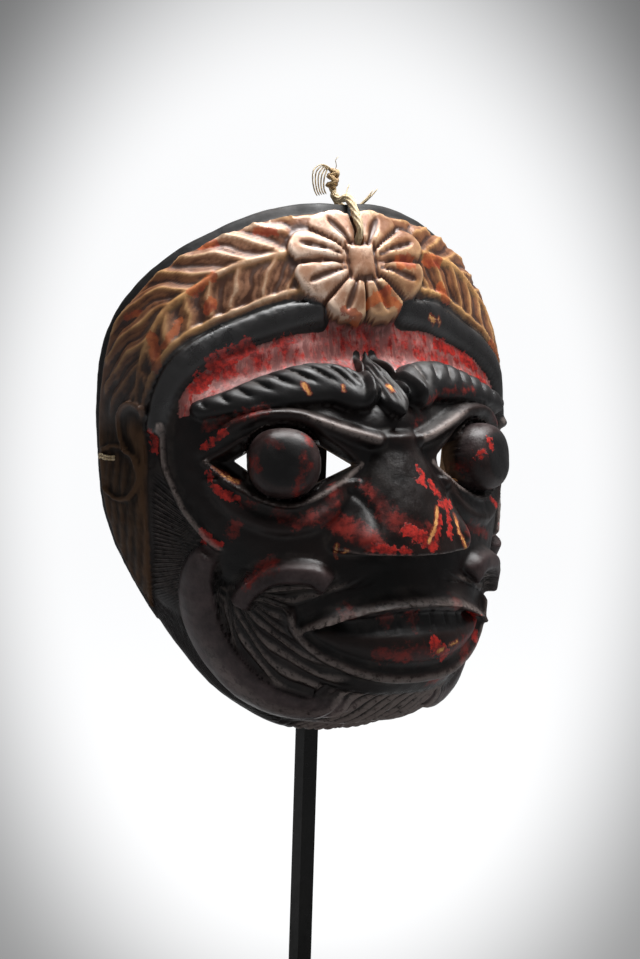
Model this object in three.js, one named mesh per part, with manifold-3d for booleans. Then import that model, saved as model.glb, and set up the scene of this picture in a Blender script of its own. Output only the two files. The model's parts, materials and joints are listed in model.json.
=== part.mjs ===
// Carved wooden face mask on a steel display stand. Millimetres, +X right, +Z up, the face looks along -Y.
// The origin is the centre of the underside of the foot, and the rod stands on the Z axis.
import * as THREE from 'three';
import { mergeVertices } from 'three/addons/utils/BufferGeometryUtils.js';
import Module from 'manifold-3d';

const wasm = await Module();
wasm.setup();

// Driving sizes of the mask
const maskHeight = 214;      // chin to crown
const wall = 8.5;            // thickness of the carved shell
const rimWall = 7;           // thickness at its edge
const slitClearance = 0.5;   // between an eye knob and the sight slit beside it
const rimSetback = 29;       // from the rod's axis back to the plane of the side rims

// Driving sizes of the stand
const footWidth = 140;
const footDepth = 130;
const footThick = 8;
const footCorner = 9;
const footBevel = 1;
const chinClear = 127;       // from the foot up to the chin
const rodSide = 6.6;         // square bar
const socketDepth = 5;       // how far the rod goes into the foot
const armSide = 5;
const padRadius = 8;
const padThick = 2.5;
const padSet = 0.5;          // between a pad's edge and the hollow of the shell

// Driving sizes of the ties
const tieWidth = 3;
const stapleWidth = 1.2;
const stapleSpan = 9;
const stapleRise = 1.3;
const knotAcross = 5.8;
const knotHigh = 8.8;

const gap = 0.3;             // between pieces that touch
const tieHoleClearance = 1;

// The carving is laid out in shares of the mask's height.
// Its chart is unrolled from the centre of the rim's plane, and chartTurn units along it turn one radian.
const unit = maskHeight / 214;
const chartTurn = 100;
const rimAcross = 150.5;
const rimUp = 120;
const rimDown = 112;
const rimSquareness = 2.34;
const girthSquareness = 2.2;

const frontCells = 60;
const backCells = 20;
const padSides = 16;
const tieSteps = 26;
const gatherAcross = 0.42;   // how far the grid's lines draw together over the face
const gatherUp = 0.12;
const samplesPerSpan = 6;
const soften = 1.7;          // the carving is averaged over this reach

// Distance from the centre to the blank's surface by latitude in degrees, down the middle and down the sides
const middleProfile = [
  [-72, 113.5], [-58, 113], [-50, 120.5], [-40, 121.5], [-30, 114], [-18, 101], [-4, 91.5],
  [12, 87.5], [30, 80.5], [42, 81], [54, 95], [66, 113.5], [72, 121],
];
const sideProfile = [
  [-72, 105], [-58, 96], [-40, 86.8], [-23, 84], [-6, 86], [8, 88.5], [20, 95], [32, 105],
  [44, 113], [60, 118], [72, 117],
];

// Paths of the carving on one half of the face, in the chart
const bandPath = path([
  [0, 88], [25, 88], [42, 86], [64, 80.5], [81, 72.5], [98, 58], [108, 44], [113, 29.7],
  [114.5, 6], [114.5, -21], [113.5, -47], [109, -74], [104, -86],
]);
const rollPath = path([[26, 83.5], [43, 81.5], [64, 75.5], [81, 66.5], [95, 54], [104, 41], [109, 28]]);
const browPath = path([[17, 45], [26, 49.5], [40, 49.5], [58, 46], [73, 40.5], [87, 36]]);
const crestPath = path([
  [12, 20.5], [18, 22.5], [28, 26.5], [38, 30.5], [47, 33.5], [58.6, 34], [69, 31.3], [78, 26],
  [88, 17],
]);
const upperLidPath = path([
  [19, 11.5], [27, 18.5], [37, 25.5], [45, 29.5], [53, 30.8], [61, 29], [69, 23.5], [79, 17], [87, 12],
]);
const lowerLidPath = path([
  [19, 10.5], [30, 2.5], [41, -3.5], [51, -6.2], [61.5, -4.5], [70, -0.5], [78.5, 4.5], [87, 12],
]);
const cheekPath = path([
  [105, 31], [106.5, 20], [106, 10], [103, 1.8], [95.5, -12], [85.5, -22.5], [76, -29],
]);
const foldPath = path([[5, 68], [8.5, 57], [11.5, 46], [14, 35]]);
const lobePath = path([[70, -50], [68, -42], [64, -36], [57, -30.5], [48, -28], [38, -28.5], [31, -33]]);
const upperLipPath = path([[42, -51.5], [35, -47.5], [25, -43.2], [14, -40.8], [0, -40]]);
const mouthTopPath = path([[38, -50.5], [26, -47.5], [12, -46], [0, -45.5]]);
const mouthBottomPath = path([[38, -51.5], [26, -53], [12, -53.8], [0, -54]]);
const lowerLipPath = path([[42, -51], [35, -56], [25, -60], [13, -62.2], [0, -62.6]]);
const chinRingPath = path([[46, -47.5], [43.5, -54], [35, -60.8], [23, -65.2], [11, -67], [0, -67.3]]);
const jawPath = path([
  [82, -30], [86.5, -41], [85.5, -56], [79, -69], [66, -80], [50, -85.5], [33, -83.5], [16, -77.5],
]);

const eye = { across: 53.7, up: 12, radius: 16 };
const flower = { up: 97.5, halfWidth: 37, halfHeight: 20, topHeight: 17.5, petals: 8 };
const boss = { halfWidth: 6.6, halfHeight: 5 };
const teethAcross = 27;
const tieHole = { across: 0.4, up: 105.5 };
const staplePlace = { across: rimAcross - 12.5, up: 12 };
const upperPadUp = 64;       // where the stand's arms bear inside the shell, in the chart
const lowerPadUp = -80;

// Small helpers
function path(points) {
  const curve = new THREE.SplineCurve(points.map(([x, y]) => new THREE.Vector2(x, y)));
  return curve.getPoints(samplesPerSpan * (points.length - 1));
}

function clamp(x, low = 0, high = 1) {
  return Math.min(high, Math.max(low, x));
}

function ease(from, to, x) {
  const t = clamp((x - from) / (to - from));
  return t * t * (3 - 2 * t);
}

function hump(x) {
  return Math.max(0, 1 - x * x) ** 2;
}

function round(x) {
  return Math.sqrt(Math.max(0, 1 - x * x));
}

// Cubic through a profile's points, with the slope at each point taken from its neighbours
function along(profile, x) {
  const last = profile.length - 1;
  let i = 0;
  while (i < last - 1 && x > profile[i + 1][0]) i += 1;
  const slope = (k) => {
    const a = profile[Math.max(0, k - 1)];
    const b = profile[Math.min(last, k + 1)];
    return (b[1] - a[1]) / (b[0] - a[0]);
  };
  const span = profile[i + 1][0] - profile[i][0];
  const t = clamp((x - profile[i][0]) / span);
  const t2 = t * t;
  const t3 = t2 * t;
  return (2 * t3 - 3 * t2 + 1) * profile[i][1] + (t3 - 2 * t2 + t) * span * slope(i)
    + (-2 * t3 + 3 * t2) * profile[i + 1][1] + (t3 - t2) * span * slope(i + 1);
}

// Nearest place on a path: its distance, its share of the way, and its side (left of travel is positive)
function nearest(line, p, q) {
  let best = { distance: Infinity, share: 0, side: 0 };
  const total = line.length - 1;
  for (let i = 0; i < total; i += 1) {
    const a = line[i];
    const vx = line[i + 1].x - a.x;
    const vy = line[i + 1].y - a.y;
    const t = clamp(((p - a.x) * vx + (q - a.y) * vy) / (vx * vx + vy * vy));
    const ex = p - a.x - t * vx;
    const ey = q - a.y - t * vy;
    const distance = Math.hypot(ex, ey);
    if (distance < best.distance) {
      best = { distance, share: (i + t) / total, side: distance * Math.sign(vx * ey - vy * ex) };
    }
  }
  return best;
}

// The blank
function rimRadius(angle) {
  const up = Math.sin(angle) > 0 ? rimUp : rimDown;
  return (Math.abs(Math.cos(angle) / rimAcross) ** rimSquareness
    + Math.abs(Math.sin(angle) / up) ** rimSquareness) ** (-1 / rimSquareness);
}

function direction(p, q) {
  const turn = Math.hypot(p, q) / chartTurn;
  const share = turn > 1e-9 ? Math.sin(turn) / turn / chartTurn : 1 / chartTurn;
  return new THREE.Vector3(p * share, -Math.cos(turn), q * share);
}

function blankRadius(ray) {
  const bearing = Math.atan2(ray.x, -ray.y);
  const latitude = THREE.MathUtils.radToDeg(Math.asin(ray.z));
  const middle = along(middleProfile, latitude);
  const side = along(sideProfile, latitude);
  return (Math.abs(Math.sin(bearing) / side) ** girthSquareness
    + Math.abs(Math.cos(bearing) / middle) ** girthSquareness) ** (-1 / girthSquareness);
}

// The carving, each piece a height over the blank in carving units
function headband(p, q, inset) {
  const { share, side } = nearest(bandPath, p, q);
  return (3.2 - 1.4 * ease(0.6, 0.8, share)) * ease(-0.8, 0.8, side) * (0.35 + 0.65 * ease(5, 8, inset));
}

function foreheadRoll(p, q) {
  const { distance, share } = nearest(rollPath, p, q);
  const width = 5.2 * (0.75 + 0.25 * ease(0, 0.2, share)) * (1 - 0.15 * ease(0.8, 1, share));
  return distance < width ? 4.4 * round(distance / width) : 0;
}

function flowerHead(p, q) {
  const x = p / flower.halfWidth;
  const y = (q - flower.up) / (q > flower.up ? flower.topHeight : flower.halfHeight);
  const out = Math.hypot(x, y);
  const petal = Math.atan2(x, y) / (2 * Math.PI / flower.petals);
  const fromMiddle = Math.abs(petal - Math.floor(petal) - 0.5) * 2;
  const inside = ease(0, 0.1, 1.03 - 0.13 * fromMiddle ** 3 - out);
  const dome = 1.4 + 4.6 * round(clamp(out / 1.12 - 0.12, -1, 1)) * (1 - 0.5 * fromMiddle ** 2);
  const notch = 2.4 * (1 - ease(0, 0.4, 1 - fromMiddle)) * ease(0.2, 0.35, out);
  const leaf = dome * (1 - 0.6 * ease(99, 113, q)) - notch;
  const facet = Math.max(Math.abs(p) / boss.halfWidth, Math.abs(q - flower.up) / boss.halfHeight);
  const button = facet < 1 ? 3.2 + 2 * round(facet ** 1.75) : 0;
  return { inside, height: 1.9 + Math.max(leaf, button) };
}

function brow(p, q) {
  const { distance, share } = nearest(browPath, p, q);
  const width = 11 - 6.5 * ease(0.35, 1.05, share);
  return distance < width ? (8.2 - 3.6 * share) * round(distance / width) ** 0.8 : 0;
}

function frown(p, q) {
  const fold = nearest(foldPath, p, q);
  const leafWidth = 9.5 * Math.sqrt(ease(72, 44, q)) + 0.01;
  const leaf = (2 + 5 * ease(68, 46, q)) * ease(28, 39, q) * hump(p / leafWidth);
  return 4.4 * hump(fold.distance / 3) * (1 - 0.6 * ease(0.8, 1, fold.share)) + leaf
    + 5 * hump(p / 30) * hump((q - 33) / 19);
}

function eyeSocket(p, q) {
  const crest = nearest(crestPath, p, q);
  const above = nearest(upperLidPath, p, q);
  const below = nearest(lowerLidPath, p, q);
  const bag = (Math.hypot((p - eye.across) / 1.15, q - eye.up) - 27) / 5;
  let height = 4.6 * hump(crest.distance / 5.2) * (1 - 0.8 * ease(0.62, 1, crest.share));
  const lids = 0.9 * hump(above.distance / 1.8) + 2.2 * hump(below.distance / 1.9);
  height += lids * ease(0.02, 0.2, above.share);
  if (q < eye.up - 8) height += 2.2 * hump(bag);
  const open = above.side < 0 && below.side > 0 && p > 22 && p < 87;
  if (open) height -= 6 * ease(0, 3.6, Math.min(above.distance, below.distance));
  return height;
}

function eyeKnob(p, q) {
  const out = Math.hypot(p - eye.across, q - eye.up) / eye.radius;
  return out < 1 ? -4 + 13.5 * Math.sqrt(1 - out ** 4.5) : -Infinity;
}

function nose(p, q) {
  const width = 11.5 + 22.5 * ease(22, -24, q) ** 0.85 + 2 * hump((q + 19) / 7);
  const section = (1 - clamp(p / width) ** 2.2) ** 1.1;
  const wing = p < width ? 2.8 * hump((p - 24) / 10.5) * hump((q + 17) / 10) : 0;
  const keel = (5 + 10.5 * ease(24, -20, q)) * section;
  return (keel + wing) * ease(25.5, 20.5, q) * (1 - ease(-21.8, -25.6, q));
}

function cheeks(p, q) {
  const ridge = nearest(cheekPath, p, q);
  const lobe = nearest(lobePath, p, q);
  const jaw = nearest(jawPath, p, q);
  const jawWidth = 10.8 * Math.sin(Math.PI * clamp(jaw.share * 0.92 + 0.06)) ** 0.55;
  let height = 2.8 * hump(ridge.distance / 2.6) * ease(0, 0.1, ridge.share) * ease(1, 0.9, ridge.share);
  const curl = ease(-1.2, 1.2, lobe.side) * ease(24, 8, lobe.side) * ease(0, 0.12, lobe.share);
  height += 5.6 * curl * (0.4 + 0.6 * ease(10, 5, lobe.side)) * (1 - 0.5 * ease(0.9, 1, lobe.share));
  height += 5 * round(clamp(jaw.distance / jawWidth)) * ease(0, 0.04, jaw.share) * ease(1, 0.96, jaw.share);
  return height;
}

function mouth(p, q) {
  const mound = Math.hypot(p / 47, (q + 54) / 23);
  const lip = nearest(upperLipPath, p, q);
  const top = nearest(mouthTopPath, p, q);
  const bottom = nearest(mouthBottomPath, p, q);
  const under = nearest(lowerLipPath, p, q);
  const ring = nearest(chinRingPath, p, q);
  let height = 6.5 * hump(clamp(mound) * 0.95);
  height += 2.8 * hump(lip.distance / 2) + 3.3 * hump(ring.distance / 3.2);
  const parted = top.side > 0 && bottom.side < 0 && p < 38;
  if (parted) height -= 7 * ease(0, 1.8, Math.min(top.distance, bottom.distance));
  if (parted && p < teethAcross) height += 4 * ease(0, 1.2, top.distance) * ease(-51.9, -51, q);
  if (lip.side > 0 && top.side < 0 && p < 42) height += 1.2;
  if (bottom.side > 0 && under.side < 0 && p < 42) {
    height += 3.4 * round(clamp(1 - Math.min(bottom.distance, under.distance) / 4.5));
  }
  return height;
}

function relief(across, q) {
  const p = Math.abs(across);
  const inset = rimRadius(Math.atan2(q, p)) - Math.hypot(p, q);
  const bloom = flowerHead(p, q);
  let height = Math.max(headband(p, q, inset), foreheadRoll(p, q));
  height += (bloom.height - height) * bloom.inside;
  if (bloom.inside < 0.3) height -= 1.6 * hump((q - 66 + 0.0022 * p * p) / 9) * (1 - ease(80, 100, p));
  height += brow(p, q) + frown(p, q) + eyeSocket(p, q) + nose(p, q) + cheeks(p, q) + mouth(p, q);
  height -= 3.8 * hump(Math.hypot((p - 68) / 33, (q - 60) / 36));
  height = Math.max(height, eyeKnob(p, q));
  return height - 2.2 * (1 - round(clamp(1 - inset / 3)));
}

function softRelief(p, q) {
  let total = 0;
  for (const [across, weight] of [[-soften, 1], [0, 2], [soften, 1]]) {
    const beside = p + across;
    total += weight * (relief(beside, q - soften) + 2 * relief(beside, q) + relief(beside, q + soften));
  }
  return total / 16;
}

// Points of the shell, about the centre of the rim's plane
function frontPoint(p, q) {
  const ray = direction(p, q);
  return ray.multiplyScalar((blankRadius(ray) + softRelief(p, q)) * unit);
}

function backPoint(p, q) {
  const ray = direction(p, q);
  const edge = Math.hypot(p, q) / rimRadius(Math.atan2(q, p));
  const thickness = wall + (rimWall - wall) * ease(0.85, 1, edge);
  const noseHollow = 7 * hump(Math.hypot(p / 30, (q + 8) / 34));
  return ray.multiplyScalar((blankRadius(ray) + noseHollow) * unit - thickness);
}

function gathered(x, strength) {
  return x - strength * Math.sin(Math.PI * x) / Math.PI;
}

// A square grid drawn out to the oval rim, as a list of rows of chart points
function ovalGrid(cells) {
  const rows = [];
  for (let j = 0; j <= cells; j += 1) {
    const row = [];
    for (let i = 0; i <= cells; i += 1) {
      const u = gathered(2 * i / cells - 1, gatherAcross);
      const v = gathered(2 * j / cells - 1, gatherUp);
      const x = u * Math.sqrt(1 - v * v / 2);
      const y = v * Math.sqrt(1 - u * u / 2);
      const angle = Math.atan2(y, x);
      const reach = Math.hypot(x, y) * rimRadius(angle);
      row.push([reach * Math.cos(angle), reach * Math.sin(angle)]);
    }
    rows.push(row);
  }
  return rows;
}

// One skin of the shell; each cell is split along the diagonal that lies nearer the surface at its middle
function skin(cells, surface, first, outward) {
  const rows = ovalGrid(cells);
  const points = rows.map((row) => row.map(([p, q]) => surface(p, q)));
  const triangles = [];
  const at = (i, j) => first + j * (cells + 1) + i;
  const add = (a, b, c) => triangles.push(...(outward ? [a, b, c] : [a, c, b]));
  for (let j = 0; j < cells; j += 1) {
    for (let i = 0; i < cells; i += 1) {
      const around = [rows[j][i], rows[j][i + 1], rows[j + 1][i + 1], rows[j + 1][i]];
      const [p, q] = [0, 1].map((k) => around.reduce((sum, corner) => sum + corner[k], 0) / 4);
      const middle = surface(p, q);
      const miss = (one, other) => one.clone().add(other).multiplyScalar(0.5).distanceTo(middle);
      const rising = miss(points[j][i], points[j + 1][i + 1]);
      const falling = miss(points[j][i + 1], points[j + 1][i]);
      const [a, b, c, d] = [at(i, j), at(i + 1, j), at(i + 1, j + 1), at(i, j + 1)];
      if (rising < falling) {
        add(a, b, c);
        add(a, c, d);
      } else {
        add(a, b, d);
        add(b, c, d);
      }
    }
  }
  return { points: points.flat(), triangles };
}

// Vertex numbers around the edge of a skin, starting at its first corner
function edgeLoop(cells, first) {
  const at = (i, j) => first + j * (cells + 1) + i;
  const loop = [];
  for (let k = 0; k < cells; k += 1) loop.push(at(k, 0));
  for (let k = 0; k < cells; k += 1) loop.push(at(cells, k));
  for (let k = 0; k < cells; k += 1) loop.push(at(cells - k, cells));
  for (let k = 0; k < cells; k += 1) loop.push(at(0, cells - k));
  return loop;
}

// The edge of the shell, between a fine front loop and a coarser back loop
function rimTriangles(frontLoop, backLoop) {
  const triangles = [];
  const ratio = frontLoop.length / backLoop.length;
  backLoop.forEach((back, k) => {
    const nextBack = backLoop[(k + 1) % backLoop.length];
    for (let step = 0; step < ratio; step += 1) {
      const here = frontLoop[k * ratio + step];
      const next = frontLoop[(k * ratio + step + 1) % frontLoop.length];
      const anchor = step < ratio / 2 ? back : nextBack;
      triangles.push(here, anchor, next);
    }
    triangles.push(frontLoop[(k * ratio + Math.ceil(ratio / 2)) % frontLoop.length], back, nextBack);
  });
  return triangles;
}

function geometryOf(vertices, triangles) {
  const geometry = new THREE.BufferGeometry();
  geometry.setAttribute('position', new THREE.Float32BufferAttribute(vertices, 3));
  geometry.setIndex(triangles);
  return geometry;
}

function shellGeometry() {
  const front = skin(frontCells, frontPoint, 0, true);
  const back = skin(backCells, backPoint, front.points.length, false);
  const edge = rimTriangles(edgeLoop(frontCells, 0), edgeLoop(backCells, front.points.length));
  const vertices = [...front.points, ...back.points].flatMap((point) => point.toArray());
  return geometryOf(vertices, [...front.triangles, ...back.triangles, ...edge]);
}

// Solids for the boolean cuts and joins
function solidOf(geometry) {
  const bare = geometry.clone();
  bare.deleteAttribute('normal');
  bare.deleteAttribute('uv');
  const merged = mergeVertices(bare, 1e-4);
  return new wasm.Manifold(new wasm.Mesh({
    numProp: 3,
    vertProperties: merged.attributes.position.array,
    triVerts: new Uint32Array(merged.index.array),
  }));
}

function geometryFrom(solid) {
  const { vertProperties, triVerts } = solid.getMesh();
  return geometryOf(Array.from(vertProperties), Array.from(triVerts));
}

// A cutter with an outline in the chart, running along the rays from well inside the shell to well outside
function rayCutter(outline, from = 0.5, to = 1.5) {
  const count = outline.length;
  const vertices = [];
  for (const share of [from, to]) {
    for (const [p, q] of outline) {
      const ray = direction(p, q);
      vertices.push(...ray.multiplyScalar(blankRadius(ray) * unit * share).toArray());
    }
  }
  const triangles = [];
  for (let k = 0; k < count; k += 1) {
    const next = (k + 1) % count;
    triangles.push(k, next, count + next, k, count + next, count + k);
    if (k > 0 && k < count - 1) {
      triangles.push(0, next, k, count, count + k, count + next);
    }
  }
  return solidOf(geometryOf(vertices, triangles));
}

// A sight slit runs from the corner of the eye to the side of the knob, and is widest at the knob
function slitOutline(corner, halfAngle, hand) {
  const reach = eye.radius + slitClearance;
  const towards = Math.sign(corner[0] - eye.across);
  const outline = [corner];
  for (const share of [-1, -0.5, 0, 0.5, 1]) {
    const turn = THREE.MathUtils.degToRad(halfAngle * share);
    outline.push([eye.across + towards * reach * Math.cos(turn), eye.up + reach * Math.sin(turn)]);
  }
  const turnedRight = (towards > 0) === (hand < 0);
  const mirrored = outline.map(([p, q]) => [hand * p, q]);
  return turnedRight ? mirrored : mirrored.reverse();
}

function holeOutline({ across, up }, diameter, sides = 8) {
  const ray = direction(across, up);
  const radius = diameter / 2 / (blankRadius(ray) * unit) * chartTurn;
  const away = Math.hypot(across, up) / chartTurn;
  const widen = away / Math.sin(away);
  const outline = [];
  for (let k = 0; k < sides; k += 1) {
    const turn = 2 * Math.PI * k / sides;
    outline.push([across + widen * radius * Math.cos(turn), up + radius * Math.sin(turn)]);
  }
  return outline;
}

function maskGeometry() {
  let solid = solidOf(shellGeometry());
  for (const hand of [-1, 1]) {
    solid = solid.subtract(rayCutter(slitOutline([21, 10.6], 42, hand)));
    solid = solid.subtract(rayCutter(slitOutline([76.5, 12.4], 19, hand)));
  }
  solid = solid.subtract(rayCutter(holeOutline(tieHole, tieWidth + 2 * tieHoleClearance)));
  return geometryFrom(solid);
}

// Places that follow from the sizes
const chinDrop = -frontPoint(0, -rimDown).z;
const maskCentre = new THREE.Vector3(0, rimSetback, footThick + chinClear + chinDrop);

// The stand
function footGeometry() {
  const shape = new THREE.Shape();
  const x = footWidth / 2 - footBevel;
  const y = footDepth / 2 - footBevel;
  const r = footCorner;
  shape.moveTo(-x + r, -y);
  shape.lineTo(x - r, -y);
  shape.absarc(x - r, -y + r, r, -Math.PI / 2, 0);
  shape.absarc(x - r, y - r, r, 0, Math.PI / 2);
  shape.absarc(-x + r, y - r, r, Math.PI / 2, Math.PI);
  shape.absarc(-x + r, -y + r, r, Math.PI, 1.5 * Math.PI);
  const plate = new THREE.ExtrudeGeometry(shape, {
    depth: footThick - 2 * footBevel,
    bevelThickness: footBevel,
    bevelSize: footBevel,
    bevelSegments: 1,
    curveSegments: 3,
  });
  plate.translate(0, 0, footBevel);
  const side = rodSide + 2 * gap;
  const socket = new THREE.BoxGeometry(side, side, 2 * socketDepth);
  socket.translate(0, 0, footThick);
  return geometryFrom(solidOf(plate).subtract(solidOf(socket)));
}

// Where an arm's pad bears: the inside of the shell on the middle line, and its way in
function bearing(up) {
  const here = backPoint(0, up);
  const upward = backPoint(0, up + 2).sub(backPoint(0, up - 2)).normalize();
  const inward = new THREE.Vector3(0, upward.z, -upward.y);
  const turn = padRadius * chartTurn / here.length();
  const closer = [-turn, turn].map((step) => backPoint(0, up + step).sub(here).dot(inward));
  const hollow = Math.max(padRadius * padRadius / 2 / here.length(), ...closer) + padSet;
  const centre = here.add(maskCentre).addScaledVector(inward, gap + hollow + padThick / 2);
  return { centre, inward };
}

function padGeometry(up) {
  const { centre, inward } = bearing(up);
  const pad = new THREE.CylinderGeometry(padRadius, padRadius, padThick, padSides);
  pad.applyQuaternion(new THREE.Quaternion().setFromUnitVectors(new THREE.Vector3(0, 1, 0), inward));
  pad.translate(centre.x, centre.y, centre.z);
  return pad;
}

// A level arm from the rod to the back of its pad, cut square to the pad
function armSolid(up) {
  const { centre, inward } = bearing(up);
  const back = centre.clone().addScaledVector(inward, padThick / 2 + gap);
  const reach = Math.abs(back.y) + armSide;
  const arm = new THREE.BoxGeometry(armSide, reach, armSide);
  arm.translate(0, -reach / 2, back.z);
  const beyond = 4 * padRadius;
  const trim = new THREE.BoxGeometry(beyond, beyond, beyond);
  trim.applyQuaternion(new THREE.Quaternion().setFromUnitVectors(new THREE.Vector3(0, -1, 0), inward));
  const middle = back.clone().addScaledVector(inward, -beyond / 2);
  trim.translate(middle.x, middle.y, middle.z);
  return solidOf(arm).subtract(solidOf(trim));
}

function rodGeometry() {
  const bottom = footThick - socketDepth + gap;
  const top = bearing(upperPadUp).centre.z + rodSide;
  const bar = new THREE.BoxGeometry(rodSide, rodSide, top - bottom);
  bar.translate(0, 0, (top + bottom) / 2);
  const rod = solidOf(bar).add(armSolid(upperPadUp)).add(armSolid(lowerPadUp));
  return geometryFrom(rod);
}

// The ties
const tieRoute = [
  [-0.8, -8.1, 348.3], [-0.2, -9.2, 346.4], [0.6, -11.4, 345.3], [1.2, -14.9, 346.1], [1.3, -18.3, 344.1],
  [1.1, -21.2, 340.6], [0.8, -23.9, 337.4], [0.5, -26, 334.4], [0.4, -26, 331.8], [0.4, -23.8, 328.1],
  [0.4, -20.5, 322.2], [0.5, -16.8, 315.4], [1.2, -13, 311.6], [2.4, -9, 312], [3.5, -6.4, 316.4],
  [4.3, -5.2, 322], [4.9, -4.8, 328], [5.2, -4.7, 334], [4.9, -4.6, 340], [3.2, -4.6, 345.2],
  [0.8, -4.7, 348.4],
];

function tube(points, width, steps) {
  const radius = width / 2;
  const section = new THREE.Shape();
  section.absarc(0, 0, radius, 0, 2 * Math.PI);
  return new THREE.ExtrudeGeometry(section, {
    steps,
    curveSegments: 4,
    extrudePath: new THREE.CatmullRomCurve3(points.map((point) => new THREE.Vector3(...point))),
  });
}

function knotGeometry() {
  const [x, , z] = tieRoute[0];
  const middle = (tieRoute[0][1] + tieRoute.at(-1)[1]) / 2;
  const knot = new THREE.SphereGeometry(0.5, 8, 6);
  knot.scale(knotAcross, knotAcross, knotHigh);
  knot.translate(x + tieWidth / 4, middle, z + knotHigh / 2 + tieWidth / 4);
  return knot;
}

// A short strand stitched over the shell near its side rim
function stapleGeometry(hand) {
  const points = [];
  const ray = direction(staplePlace.across, staplePlace.up);
  const turnPerMm = chartTurn / (blankRadius(ray) * unit);
  for (const share of [-1, -0.6, 0, 0.6, 1]) {
    const p = staplePlace.across + share * stapleSpan / 2 * turnPerMm;
    const lift = stapleWidth / 2 + gap + stapleRise * (1 - share * share);
    const skin = frontPoint(p, staplePlace.up);
    const out = direction(p, staplePlace.up);
    skin.addScaledVector(out, lift).add(maskCentre);
    points.push([hand * skin.x, skin.y, skin.z]);
  }
  return tube(points, stapleWidth, 6);
}

// Finishes and the finished group
function finish(color, roughness, metalness) {
  return new THREE.MeshStandardMaterial({ color, roughness, metalness });
}

const group = new THREE.Group();

function place(name, geometry, material) {
  const mesh = new THREE.Mesh(geometry, material);
  mesh.name = name;
  group.add(mesh);
  return mesh;
}

place('mask', maskGeometry(), finish(0x2a1512, 0.42, 0)).position.copy(maskCentre);
place('stand_foot', footGeometry(), finish(0x141414, 0.55, 0.6));
place('stand_rod', rodGeometry(), finish(0x141414, 0.55, 0.6));
place('pad_upper', padGeometry(upperPadUp), finish(0x1c1a18, 0.95, 0));
place('pad_lower', padGeometry(lowerPadUp), finish(0x1c1a18, 0.95, 0));
place('tie_strand', tube(tieRoute, tieWidth, tieSteps), finish(0xcdb98a, 0.7, 0));
place('tie_knot', knotGeometry(), finish(0xa98d5c, 0.8, 0));
place('side_tie_left', stapleGeometry(-1), finish(0xcdb98a, 0.7, 0));
place('side_tie_right', stapleGeometry(1), finish(0xcdb98a, 0.7, 0));

export default group;
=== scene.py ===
import json
import math

import bmesh
import bpy
import numpy as np
from mathutils import Matrix, Vector

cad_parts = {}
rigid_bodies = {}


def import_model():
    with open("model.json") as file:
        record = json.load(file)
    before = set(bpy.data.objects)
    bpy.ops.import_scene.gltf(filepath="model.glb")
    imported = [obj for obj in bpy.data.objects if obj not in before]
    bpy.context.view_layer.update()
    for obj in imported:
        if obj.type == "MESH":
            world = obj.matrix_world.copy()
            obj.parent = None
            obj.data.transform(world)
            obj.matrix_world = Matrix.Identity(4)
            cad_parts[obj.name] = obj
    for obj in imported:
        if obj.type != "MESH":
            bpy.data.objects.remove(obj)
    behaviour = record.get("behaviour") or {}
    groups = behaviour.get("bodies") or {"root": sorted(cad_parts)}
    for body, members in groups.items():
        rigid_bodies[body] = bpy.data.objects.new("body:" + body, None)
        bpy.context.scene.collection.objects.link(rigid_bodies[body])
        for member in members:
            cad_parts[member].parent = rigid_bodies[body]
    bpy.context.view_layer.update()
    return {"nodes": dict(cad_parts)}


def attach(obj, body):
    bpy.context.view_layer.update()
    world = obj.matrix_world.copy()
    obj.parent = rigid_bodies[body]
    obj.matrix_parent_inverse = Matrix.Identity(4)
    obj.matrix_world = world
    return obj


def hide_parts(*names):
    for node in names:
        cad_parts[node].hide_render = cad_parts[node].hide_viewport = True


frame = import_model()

scene = bpy.context.scene
mm = 0.001

# Sizes of the mask in millimetres, and its chart: 100 chart units turn one radian about the centre
mask_centre = np.array([0, 29, 234.817])
wall = 8.5
rim_wall = 7.0
rim_across = 150.5
rim_up = 120.0
rim_down = 112.0
rim_squareness = 2.34
girth_squareness = 2.2
front_cells = 300
back_cells = 75
gather_across = 0.3
gather_up = 0.12

middle_profile = [
    (-72, 113.5), (-58, 113), (-50, 120.5), (-40, 121.5), (-30, 114), (-18, 101), (-4, 91.5),
    (12, 87.5), (30, 80.5), (42, 81), (54, 95), (66, 113.5), (72, 121),
]
side_profile = [
    (-72, 105), (-58, 96), (-40, 86.8), (-23, 84), (-6, 86), (8, 88.5), (20, 95), (32, 105),
    (44, 113), (60, 118), (72, 117),
]

# Camera: degrees to the side, up and of roll, metres away, millimetres of lens and film, shift of the picture
camera_turn, camera_rise, camera_roll = 33, 5, 1.7
camera_away = 1.2
camera_lens = 109.46
camera_film = 36
camera_shift = (0.0462, -0.012)

# Features on the chart
eye_across = 53.7
eye_up = 12.0
eye_radius = 16.0
flower_up = 97.5
hole_across = 0.4
hole_up = 105.5
hole_radius = 2.2
slit_clearance = 0.5

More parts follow.
